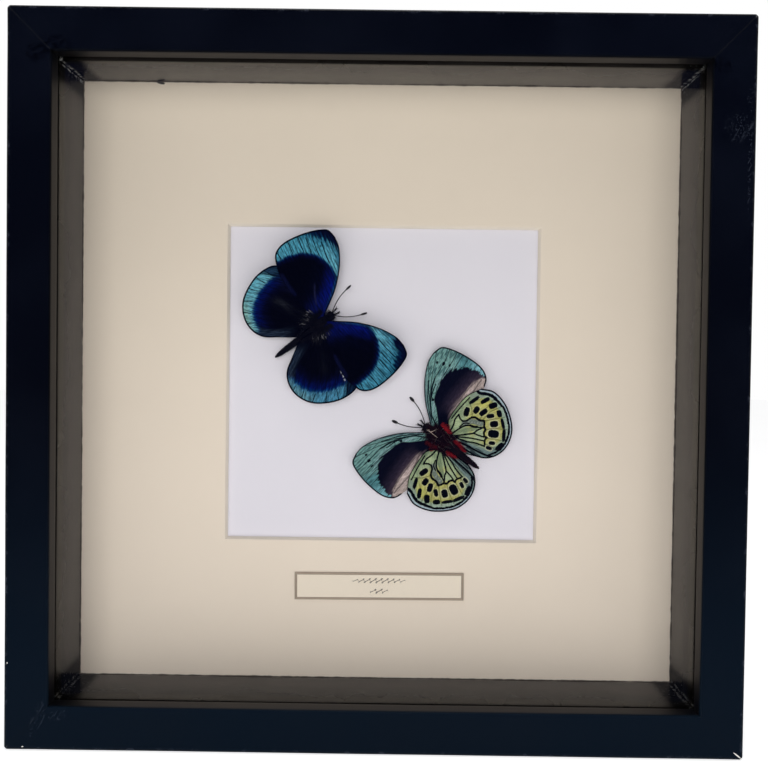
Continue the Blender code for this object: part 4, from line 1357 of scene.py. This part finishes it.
def wing_plan(wing, out_steps, across_steps):
    """Coons patch between a wing's four edges: the sum of the two blends between opposite
    edges, less the bilinear blend of the corners. Rows run out from the root."""
    lead = even_curve(wing["lead"], out_steps)[:, None]
    trail = even_curve(wing["trail"], out_steps)[:, None]
    margin = even_curve(wing["margin"], across_steps)[None]
    out = np.linspace(0, 1, out_steps)[:, None, None]
    across = np.linspace(0, 1, across_steps)[None, :, None]
    root = lead[:1] * (1 - across) + trail[:1] * across
    corners = (1 - out) * root + out * ((1 - across) * lead[-1:] + across * trail[-1:])
    return (1 - across) * lead + across * trail + (1 - out) * root + out * margin - corners


def add_wing(kind, pair, hand, side, wing, pattern, material, settings):
    """A closed sheet: the wing's plan, lifted with its distance from the body, pleated
    between the veins by the distance to them and ribbed along them. Front and back share
    the rim, where the thickness dies away."""
    specimen = SPECIMENS[kind]
    plan = wing_plan(wing, *WING_GRID)
    rows, columns = plan.shape[:2]
    flat = plan.reshape(-1, 2)
    angle = math.radians(specimen[pair][hand])
    out, lead = plan[..., 0], plan[..., 1]
    along = wing["root"][0] + out * math.cos(angle) + lead * math.sin(angle)
    aside = wing["root"][1] + out * math.sin(angle) - lead * math.cos(angle)
    reach = aside / WING_REACH
    lift = specimen[pair]["height"] + specimen["rise"] * (1.3 * reach - 0.3 * reach**2)
    veins = np.min([curve_gap(flat, vein) for vein in wing["veins"]], axis=0)
    veins = veins.reshape(rows, columns)
    rib = settings.rib / MM * np.exp(-(veins * MM / settings.rib_width)**2)
    pleat = settings.pleat / MM * (np.exp(-(veins / 0.9)**2) - 0.5)
    rim = np.minimum.reduce([
        np.arange(rows)[:, None] + 0 * veins, (rows - 1 - np.arange(rows))[:, None] + 0 * veins,
        np.arange(columns)[None] + 0 * veins, (columns - 1 - np.arange(columns))[None] + 0 * veins])
    body = fade(rim, 0, RIM_STEPS)
    ripple = WARP * waves(plan, WARP_LONG, len(kind + pair + hand)) * body
    lift = lift + ripple + pleat
    half = settings.thickness / MM / 2 * body
    front = to_frame(specimen, along, side * aside, lift + half + rib * body)
    back = to_frame(specimen, along, side * aside, lift - half)
    inner = np.zeros((rows, columns), bool)
    inner[1:-1, 1:-1] = True
    index = np.arange(rows * columns).reshape(rows, columns)
    behind = index.copy()
    behind[inner] = rows * columns + np.arange(inner.sum())
    faces = []
    for sheet, step in ((index, 1), (behind, -1)):
        quads = np.stack([sheet[:-1, :-1], sheet[:-1, 1:], sheet[1:, 1:], sheet[1:, :-1]], -1)
        faces.append(quads.reshape(-1, 4)[:, ::step])
    points = np.vstack([front.reshape(-1, 3), back[inner]])
    piece = add_piece("%s_%s_%s" % (kind, hand, pair), points, np.vstack(faces).tolist(),
                      material, ["%s_%s_%s" % (kind, pair, hand)], 60)
    tint, ink = pattern(flat, LEFT_SEED if hand == "left" else RIGHT_SEED)
    inside = inner.ravel()
    set_values(piece, "tint", np.vstack([tint, tint[inside]]))
    set_values(piece, "ink", np.concatenate([ink, ink[inside]]))
    set_uv(piece, np.vstack([flat, flat[inside]]))
    return piece


def each_side(specimen):
    """The insect's left and right, with the sign of its place beside the axis."""
    return (("left", specimen["side"]), ("right", -specimen["side"]))


class BOXFRAME_OT_wings(bpy.types.Operator):
    """Eight scaled wings: one butterfly shows its upper side and one its underside"""

    bl_idname = "boxframe.wings"
    bl_label = "Wings"

    def execute(self, context):
        settings = context.scene.wings
        upper, under = "upper_wing", "under_wing"
        blue = wing_finish("blue_scales", settings.sheen, paint(1, 2, 8), -26, 0.5, 0.2, 0.03)
        teal = wing_finish("teal_scales", settings.matt, paint(4, 8, 14), -22, 0.44, 0.16, 0.04)
        green = wing_finish("green_scales", settings.matt, paint(4, 4, 5), 8, 0.2, 0.2, 0.04)
        designs = {
            ("dorsal", "forewing"): (FOREWING, upper_forewing, blue, upper),
            ("dorsal", "hindwing"): (HINDWING, upper_hindwing, blue, upper),
            ("ventral", "forewing"): (FOREWING, under_forewing, teal, under),
            ("ventral", "hindwing"): (HINDWING, under_hindwing, green, under)}
        for (kind, pair), (wing, pattern, material, slot) in designs.items():
            for hand, side in each_side(SPECIMENS[kind]):
                add_wing(kind, pair, hand, side, wing, pattern, material, settings)
        return {"FINISHED"}


def around(sides):
    """Even angles once round a ring, in radians."""
    return np.arange(sides) * 2 * math.pi / sides


def tubes(paths, radii, sides, up=(0, 1, 0)):
    """Rings round several paths: paths are (tube, place, xyz) and radii (tube, place). A
    ring lies across its path's direction, which is the difference of its neighbours."""
    along = np.gradient(paths, axis=1)
    along /= np.linalg.norm(along, axis=-1, keepdims=True)
    across = np.cross(along, np.array(up, float))
    across /= np.maximum(np.linalg.norm(across, axis=-1, keepdims=True), 1e-9)
    over = np.cross(along, across)
    turn = around(sides)
    ring = (across[:, :, None] * np.cos(turn)[:, None] + over[:, :, None] * np.sin(turn)[:, None])
    return paths[:, :, None] + ring * radii[:, :, None, None]


def add_hairs(name, roots, ways, long, radius, colour_of, material, seed, curl=0.25):
    """Three-sided tapering strands: each runs from its root along its own way, and bends
    by a random share of its length as the square of the distance. All in one mesh."""
    chance = np.random.default_rng(seed)
    count = len(roots)
    bend = chance.normal(size=(count, 3)) * curl
    ways = ways / np.linalg.norm(ways, axis=1, keepdims=True)
    lengths = long * chance.uniform(0.45, 1.15, count)[:, None, None]
    t = np.array([0, 0.35, 0.7, 1.0])[None, :, None]
    paths = roots[:, None] + lengths * (ways[:, None] * t + bend[:, None] * t**2 * 0.6)
    radii = radius * np.array([1.0, 0.85, 0.55, 0.12])[None] * chance.uniform(0.7, 1.2, (count, 1))
    rings = tubes(paths, radii, 3, up=(0.13, 0.98, 0.17))
    piece = add_piece(name, rings, tube_faces(4, 3, count), material, smooth=80)
    set_values(piece, "tint", np.repeat(colour_of, 12, 0))
    return piece


def hair_finish():
    """Dull hair, coloured strand by strand."""
    material, tree, shader = start_finish("hair")
    tint = attribute(tree, "tint", "Color")
    drift = noise(tree, place_of(tree), 900, 2)
    colour = mix(tree, level(tree, drift, 0.3, 0.7, 0.0, 0.4), tint, paint(5, 4, 6))
    finish(tree, shader, Base_Color=colour, Roughness=0.6, Specular_IOR_Level=0.1)
    return material


def body_radius(along):
    """Radius of the body, with the abdomen's rings: each ring swells by a rectified sine."""
    line = smooth_curve(BODY_RADII, 400)[::-1]
    radius = np.interp(along, line[:, 0], line[:, 1])
    ring = np.abs(np.sin((along + 4.6) * math.pi / 1.85))
    return radius * (1 - 0.10 * (1 - ring) ** 3 * fade(-along, 4.6, 5.4))


def body_skin(specimen, along, turn, swell=1.0):
    """Points of the body's skin: along its axis, and turned about it from its side."""
    radius = body_radius(along) * swell
    lump = 1 + 0.05 * np.cos(2 * turn) * fade(along, -3, 0) - 0.04 * np.cos(4 * turn)
    beside = radius * lump * np.cos(turn)
    height = body_height(specimen, along) + specimen["size"] * radius * np.sin(turn)
    return to_frame(specimen, along, beside, height)


def egg(centre, sizes, way, rows=22, sides=28, point=0.0):
    """An ellipsoid along a way in the body's axes, closed at its poles: radius follows the
    sine of the way round, and point draws its far end out."""
    t = np.linspace(0, math.pi, rows)[:, None]
    turn = around(sides)[None]
    long = -np.cos(t) * sizes[0] + 0 * turn
    thin = np.maximum(np.sin(t), 1e-3) * (1 - point * (1 - np.cos(t)) / 2)
    across, over = sizes[1] * thin * np.cos(turn), sizes[2] * thin * np.sin(turn)
    way = np.array(way, float) / np.linalg.norm(way)
    side = np.cross(way, (0, 0, 1.0))
    side /= np.linalg.norm(side)
    top = np.cross(side, way)
    place = np.array(centre, float)
    return place + long[..., None] * way + across[..., None] * side + over[..., None] * top


def in_frame(specimen, points):
    return to_frame(specimen, points[..., 0], points[..., 1], points[..., 2])


class BOXFRAME_OT_bodies(bpy.types.Operator):
    """Ringed bodies with eyes, palps, legs and the drop of glue that holds each one"""

    bl_idname = "boxframe.bodies"
    bl_label = "Bodies"

    def execute(self, context):
        """The skin is the body's radius turned about its axis. Legs are tubes along bent
        lines of hip, knee, ankle and toe. Glue is a turned drop that spreads at its foot."""
        settings = context.scene.insect
        shells = {
            "dorsal": body_finish("black_shell", settings.shell, paint(22, 19, 24), 300),
            "ventral": body_finish("red_brown_shell", settings.shell, paint(38, 14, 17), 420)}
        eye = plain_finish("eye", paint(28, 16, 12), 0.18, 5000, 0.4, Coat_Weight=0.5)
        leg = plain_finish("leg", paint(44, 32, 30), 0.5, 1500, 0.4)
        pale = plain_finish("pale_leg", paint(176, 158, 146), 0.5, 1500, 0.2)
        glue = plain_finish("dried_glue", paint(214, 208, 190), 0.25, 600, 0.08)
        for kind, specimen in SPECIMENS.items():
            along = np.concatenate([
                np.linspace(7.0, 6.4, 10)[:-1], np.linspace(6.4, -20.0, 190),
                np.linspace(-20.0, -20.2, 5)[1:]])[:, None]
            turn = around(SKIN_SIDES)[None]
            skin = body_skin(specimen, along, turn)
            add_piece(kind + "_body_skin", skin, tube_faces(*skin.shape[:2]), shells[kind],
                      [kind + "_body"], 50)
            middle = specimen["body"]
            for hand, side in each_side(specimen):
                ball = egg((5.85, side * 1.05, middle + 0.15), (0.78, 0.62, 0.86),
                           (1, side * 0.25, 0.1))
                add_piece("%s_eye_%s" % (kind, hand), in_frame(specimen, ball),
                          tube_faces(*ball.shape[:2]), eye)
                palp = egg((7.75, side * 0.62, middle + 0.1), (1.45, 0.26, 0.3),
                           (1, side * 0.22, 0.16), point=0.75)
                add_piece("%s_palp_%s" % (kind, hand), in_frame(specimen, palp),
                          tube_faces(*palp.shape[:2]), shells[kind])
            self.add_legs(kind, specimen, leg, pale)
            self.add_glue(kind, specimen, glue)
        return {"FINISHED"}

    def add_legs(self, kind, specimen, leg, pale):
        """Folded legs on the breast, which faces the glass on the upturned butterfly and
        the card on the other. Each lies along its bends just above the skin."""
        facing = 1 if kind == "ventral" else -1
        groups = {
            "front": [[(5.0, 0.5), (3.5, 0.3), (1.8, 0.3), (-0.2, 0.35)],
                      [(4.6, -0.1), (3.4, 0.2), (2.4, -1.4), (1.6, -2.9)]],
            "rear": [[(3.2, 0.8), (4.2, 2.2), (2.2, 2.4), (-0.4, 1.2), (-2.2, 0.9)],
                     [(1.6, -0.7), (2.2, -2.4), (-0.4, -2.2), (-2.6, -1.0), (-4.4, -0.6)],
                     [(0.2, 0.6), (-0.6, 2.3), (-3.0, 1.6), (-5.4, 0.8), (-6.8, 0.5)],
                     [(-0.8, -0.6), (-1.6, -2.0), (-3.8, -1.5), (-6.2, -0.9), (-7.6, -0.7)]]}
        steps, sides = LEG_GRID
        t = np.linspace(0, 1, steps)
        radius = 0.15 - 0.06 * t + 0.04 * np.exp(-((t - 0.4) / 0.05)**2)
        for group, material in (("front", pale if kind == "ventral" else leg), ("rear", leg)):
            paths = []
            for bends in groups[group]:
                along, aside = smooth_curve(bends, steps).T
                rise = np.sqrt(np.maximum(body_radius(along)**2 - aside**2, 0.1)) + 0.22
                height = body_height(specimen, along) + facing * specimen["size"] * rise
                paths.append(to_frame(specimen, along, aside, height))
            radii = np.tile(radius * MM * specimen["size"], (len(paths), 1))
            rings = tubes(np.array(paths), radii, sides)
            add_piece("%s_%s_legs" % (kind, group), rings, tube_faces(steps, sides, len(paths)),
                      material)

    def add_glue(self, kind, specimen, glue):
        top = specimen["body"] - specimen["size"] * 2.2
        rows, sides = GLUE_GRID
        t = np.linspace(0, 1, rows)[:, None]
        turn = around(sides)[None]
        spread = 1.6 * (1 - 0.45 * t**0.6 + 0.12 * np.cos(3 * turn + 1) * (1 - t))
        drop = np.stack([spread * np.cos(turn), spread * np.sin(turn), 0.02 + top * t + 0 * turn], -1)
        add_piece(kind + "_glue", in_frame(specimen, drop), tube_faces(rows, sides), glue,
                  [kind + "_glue_pad"])


class BOXFRAME_OT_feelers(bpy.types.Operator):
    """Four clubbed feelers with fine joints"""

    bl_idname = "boxframe.feelers"
    bl_label = "Feelers"

    def execute(self, context):
        """A feeler bows by half a sine and rises towards its tip. Its radius swells to a
        club by a smooth step and a fall, and a fine sine marks the joints."""
        horn = plain_finish("feeler_horn", paint(26, 20, 19), 0.5, 2500, 0.4)
        steps, sides = FEELER_GRID
        t = np.linspace(0, 1, steps)
        for kind, specimen in SPECIMENS.items():
            club = 1.3 if kind == "dorsal" else 2.2
            swell = 1 + club * fade(t, 0.78, 0.88) * np.sqrt(np.clip((1.001 - t) / 0.07, 0, 1))
            radius = FEELER_RADIUS * swell * (1 + 0.05 * np.sin(t * math.pi * 90))
            for hand, side in each_side(specimen):
                angle = math.radians(specimen["feelers"][hand])
                bow = 0.9 * np.sin(math.pi * t)
                along = FEELER_ROOT[0] + FEELER_LONG * t * math.cos(angle) - bow * math.sin(angle)
                aside = FEELER_ROOT[1] + FEELER_LONG * t * math.sin(angle) + bow * math.cos(angle)
                path = to_frame(specimen, along, side * aside, specimen["body"] + 1.2 * t)
                rings = tubes(path[None], radius[None] * MM, sides)
                add_piece("%s_feeler_%s" % (kind, hand), rings, tube_faces(steps, sides),
                          horn, ["%s_antenna_%s" % (kind, hand)])
        return {"FINISHED"}


# Sheaves of hair: where along and beside the body their roots lie (from, to), height above
# the hindwings, the way they point from the body's axis, length, thickness, count, the two
# colours they run between, dark to light, the power that says how few are light, and the
# sides of the body that have them.
SHEAVES = {
    "dorsal": [
        ((-4.2, 3.8), (1.2, 2.8), (0.9, 2.2), (70, 150), 2.2, 1.3, 1200,
         (5, 4, 7), (30, 27, 34), 3.0, (1, -1)),
        ((-3.6, 1.6), (1.6, 3.6), (0.7, 1.5), (95, 150), 3.6, 1.2, 420,
         (8, 7, 10), (72, 70, 74), 4.0, (1, -1)),
        ((-4.0, 0.6), (3.4, 7.6), (0.3, 0.8), (100, 140), 3.2, 1.2, 300,
         (6, 5, 8), (40, 39, 44), 3.0, (1, -1)),
        ((-8.0, -3.4), (0.8, 1.6), (0.5, 1.3), (120, 168), 1.9, 1.2, 420,
         (5, 4, 7), (30, 28, 36), 2.6, (1, -1)),
        # this sheaf's pale strands are painted glints on the thorax hairs
        ((-4.2, 1.2), (1.8, 6.4), (1.5, 2.2), (95, 150), 1.5, 2.6, 30,
         (30, 29, 36), (176, 172, 176), 1.6, (1, -1))],
    "ventral": [
        ((-5.2, 3.6), (1.4, 2.8), (1.0, 2.3), (75, 150), 1.7, 1.3, 1100,
         (10, 6, 8), (64, 20, 24), 2.4, (1, -1)),
        ((-5.6, 0.2), (2.4, 4.6), (0.6, 1.5), (100, 155), 1.6, 1.3, 1100,
         (8, 5, 7), (52, 20, 22), 2.4, (1, -1)),
        ((-2.6, 1.9), (3.2, 4.6), (1.2, 2.0), (100, 150), 1.5, 1.3, 520,
         (96, 8, 14), (178, 34, 38), 1.0, (-1,)),
        ((-2.2, 2.6), (3.0, 4.2), (1.2, 2.0), (100, 150), 1.4, 1.3, 420,
         (40, 6, 10), (110, 22, 26), 1.2, (1,)),
        ((-9.8, -5.8), (1.5, 2.6), (0.6, 1.5), (138, 160), 1.9, 1.3, 420,
         (92, 8, 12), (164, 30, 34), 1.0, (1, -1)),
        ((-9.5, -5.0), (0.8, 1.6), (0.8, 1.8), (130, 165), 1.5, 1.2, 300,
         (8, 6, 8), (40, 18, 20), 1.6, (1, -1))],
}


class BOXFRAME_OT_hairs(bpy.types.Operator):
    """Hair on heads, bodies and wing roots"""

    bl_idname = "boxframe.hairs"
    bl_label = "Hair"

    def execute(self, context):
        """Roots are scattered over the skin; each hair leans from the skin's normal towards
        the tail. Palps and forehead bristle forwards. Sheaves fan out over the hindwings."""
        settings = context.scene.insect
        material = hair_finish()
        for number, (kind, specimen) in enumerate(SPECIMENS.items()):
            chance = np.random.default_rng(70 + number)
            count = settings.hairs
            along = np.concatenate([
                chance.uniform(-4.2, 6.6, count * 3 // 4), chance.uniform(-19.6, -4.2, count // 4)])
            turn = chance.uniform(0, 2 * math.pi, len(along))
            roots = body_skin(specimen, along, turn, 0.97)
            tips = body_skin(specimen, along, turn, 1.4)
            back = body_skin(specimen, along - 0.5, turn, 0.97) - roots
            ways = tips - roots + back * 1.6 * fade(along, 6.6, 4.5)[:, None]
            long = settings.hair * np.where(along > -4.2, 1.0, 0.4)
            light = (38, 34, 40) if kind == "dorsal" else (72, 22, 26)
            colours = self.shades(chance, len(along), (6, 5, 7), light, 3.0)
            add_hairs(kind + "_body_hair", roots, ways, long[:, None, None],
                      settings.hair_radius, colours, material, 80 + number)
            self.add_bristles(kind, specimen, settings, material, chance)
            self.add_sheaves(kind, specimen, settings, material, chance)
        return {"FINISHED"}

    def shades(self, chance, count, dark, light, power):
        """Random colours between two, the light ones rarer as the power grows."""
        dark, light = np.array(paint(*dark)[:3]), np.array(paint(*light)[:3])
        return dark + (light - dark) * chance.uniform(0, 1, (count, 1)) ** power

    def add_bristles(self, kind, specimen, settings, material, chance):
        """Stiff hairs that stand forwards along the two palps."""
        count = PALP_BRISTLES
        side = np.where(chance.uniform(size=count) > 0.5, 1, -1)
        place = chance.uniform(0, 1, count)
        along = 6.4 + 2.3 * place
        beside = side * (0.45 + 0.5 * place)
        height = specimen["body"] + 0.1 + 0.4 * place
        turn = chance.uniform(0, 2 * math.pi, count)
        roots = to_frame(specimen, along, beside, height)
        tips = to_frame(specimen, along + 0.9, beside + 0.55 * np.cos(turn) + 0.1 * side,
                        height + 0.55 * np.sin(turn))
        add_hairs(kind + "_palp_bristles", roots, tips - roots, settings.hair * 0.75,
                  settings.hair_radius, self.shades(chance, count, (6, 5, 7), (36, 22, 26), 2.6),
                  material, 85)

    def add_sheaves(self, kind, specimen, settings, material, chance):
        """Long soft hairs from the wing roots, lying just above the hindwings."""
        for number, sheaf in enumerate(SHEAVES[kind]):
            spread, apart, above, ways_from, long, thick, count, dark, light, power, hands = sheaf
            sides = chance.choice(hands, count)
            place = chance.uniform(0, 1, count)
            along = spread[0] + (spread[1] - spread[0]) * place
            aside = apart[0] + (apart[1] - apart[0]) * (
                0.6 * place + 0.4 * chance.uniform(0, 1, count))
            height = specimen["hindwing"]["height"] + chance.uniform(*above, count)
            angle = np.radians(ways_from[1] + (ways_from[0] - ways_from[1]) * place
                               + chance.normal(0, 9, count))
            roots = to_frame(specimen, along, sides * aside, height)
            tips = to_frame(specimen, along + 3 * np.cos(angle),
                            sides * (aside + 3 * np.sin(angle)),
                            height + chance.uniform(-0.35, 0.35, count))
            add_hairs("%s_sheaf_%d" % (kind, number + 1), roots, tips - roots, long * MM,
                      settings.hair_radius * thick,
                      self.shades(chance, count, dark, light, power), material,
                      90 + number, 0.16)


# ---------------------------------------------------------------- stage

CAMERA_OFFSET = (0.0030062, 0.0070885)  # right of the frame's middle and above it
CAMERA_TURN = (88.770418, -0.765987, 0.181180)  # degrees about the three axes


class BOXFRAME_OT_stage(bpy.types.Operator):
    """Pale floor, soft lights and the camera"""

    bl_idname = "boxframe.stage"
    bl_label = "Stage"

    def execute(self, context):
        settings = context.scene.stage
        self.add_floor()
        self.add_room(context.scene)
        middle = (0.0, 0.0, MIDDLE_Z)
        self.add_light("key_light", (0.36, -2.0, 0.12), middle, 0.9, settings.key)
        self.add_light("fill_light", (-0.36, -2.0, 0.42), middle, 0.9, settings.fill)
        top = self.add_light("top_light", (0.0, -0.3, 1.2), middle, 0.6, settings.top)
        top.visible_glossy = True
        self.add_camera(context.scene, settings)
        context.scene.view_settings.view_transform = "Standard"
        return {"FINISHED"}

    def add_floor(self):
        """A wide floor: rings whose radius grows by equal shares from the middle."""
        rows, sides = 24, 64
        radius = np.geomspace(0.2, 4.0, rows)[:, None]
        turn = around(sides)[None]
        points = np.stack([radius * np.cos(turn), radius * np.sin(turn), -0.0002 + 0 * radius * turn], -1)
        faces = grid_faces(rows, sides, around_columns=True).tolist() + [list(range(sides))]
        mesh = bpy.data.meshes.new("floor")
        mesh.from_pydata(points.reshape(-1, 3).tolist(), [], faces)
        material, tree, shader = start_finish("pale_floor")
        mottle = noise(tree, place_of(tree), 3.0, 3)
        colour = mix(tree, level(tree, mottle, 0.3, 0.7), paint(244, 244, 244), paint(250, 250, 250))
        finish(tree, shader, Base_Color=colour, Roughness=0.9, Emission_Color=paint(255, 255, 255),
               Emission_Strength=0.75)
        mesh.materials.append(material)
        floor = bpy.data.objects.new("floor", mesh)
        bpy.context.scene.collection.objects.link(floor)
        floor.visible_glossy = False

    def add_room(self, scene):
        """A white studio that is dark in front of the glass, so that nothing mirrors in it."""
        world = bpy.data.worlds.new("studio")
        scene.world = world
        world.use_nodes = True
        tree = world.node_tree
        way = add_node(tree, "ShaderNodeTexCoord").outputs["Generated"]
        _, y, z = axes(tree, way)
        flag = level(tree, times(tree, y, -1.0), 0.5, 0.8)
        low = level(tree, z, 0.0, -0.36)
        dark = mix(tree, low, (0.006, 0.012, 0.055, 1), (0.012, 0.016, 0.03, 1))
        room = mix(tree, flag, (0.25, 0.25, 0.25, 1), dark)
        seen = add_node(tree, "ShaderNodeLightPath").outputs["Is Camera Ray"]
        colour = mix(tree, seen, room, (1, 1, 1, 1))
        back = tree.nodes["Background"]
        tree.links.new(colour, back.inputs["Color"])

    def add_light(self, name, place, aim, size, power):
        """A square soft box, kept out of the glass's reflections."""
        lamp = bpy.data.lights.new(name, "AREA")
        lamp.size = size
        lamp.energy = power
        light = bpy.data.objects.new(name, lamp)
        light.visible_glossy = False
        light.location = place
        way = np.array(aim) - np.array(place)
        flat = math.hypot(way[0], way[1])
        light.rotation_euler = (math.atan2(flat, -way[2]), 0, math.atan2(-way[0], way[1]))
        bpy.context.scene.collection.objects.link(light)
        return light

    def add_camera(self, scene, settings):
        lens = bpy.data.cameras.new("camera")
        lens.lens = settings.lens
        lens.sensor_width = 36
        lens.clip_start = 0.01
        camera = bpy.data.objects.new("camera", lens)
        right, above = CAMERA_OFFSET
        camera.location = (right, FRONT - settings.distance, MIDDLE_Z + above)
        camera.rotation_euler = [math.radians(angle) for angle in CAMERA_TURN]
        scene.collection.objects.link(camera)
        scene.camera = camera


SETTINGS = {
    "lacquer": LacquerSettings, "lining": LiningSettings, "mount": MountSettings,
    "wings": WingSettings, "insect": InsectSettings, "stage": StageSettings}
STEPS = (
    BOXFRAME_OT_stage, BOXFRAME_OT_rails, BOXFRAME_OT_glass, BOXFRAME_OT_lining,
    BOXFRAME_OT_mount, BOXFRAME_OT_label, BOXFRAME_OT_back, BOXFRAME_OT_wings,
    BOXFRAME_OT_bodies, BOXFRAME_OT_feelers, BOXFRAME_OT_hairs)


class BOXFRAME_PT_sidebar(bpy.types.Panel):
    """The settings and the steps that build the finished frame"""

    bl_idname = "BOXFRAME_PT_sidebar"
    bl_label = "Box frame"
    bl_space_type = "VIEW_3D"
    bl_region_type = "UI"
    bl_category = "Box frame"

    def draw(self, context):
        for step in STEPS:
            self.layout.operator(step.bl_idname)
        for group, kind in SETTINGS.items():
            box = self.layout.box()
            box.label(text=group.title())
            for name in kind.__annotations__:
                box.prop(getattr(context.scene, group), name)


CLASSES = (*SETTINGS.values(), *STEPS, BOXFRAME_PT_sidebar)


def register():
    for kind in CLASSES:
        bpy.utils.register_class(kind)
    for group, kind in SETTINGS.items():
        setattr(bpy.types.Scene, group, bpy.props.PointerProperty(type=kind))


def unregister():
    for group in SETTINGS:
        delattr(bpy.types.Scene, group)
    for kind in reversed(CLASSES):
        bpy.utils.unregister_class(kind)


def main():
    register()
    for step in STEPS:
        getattr(bpy.ops.boxframe, step.bl_idname.split(".")[1])()


if __name__ == "__main__":
    main()
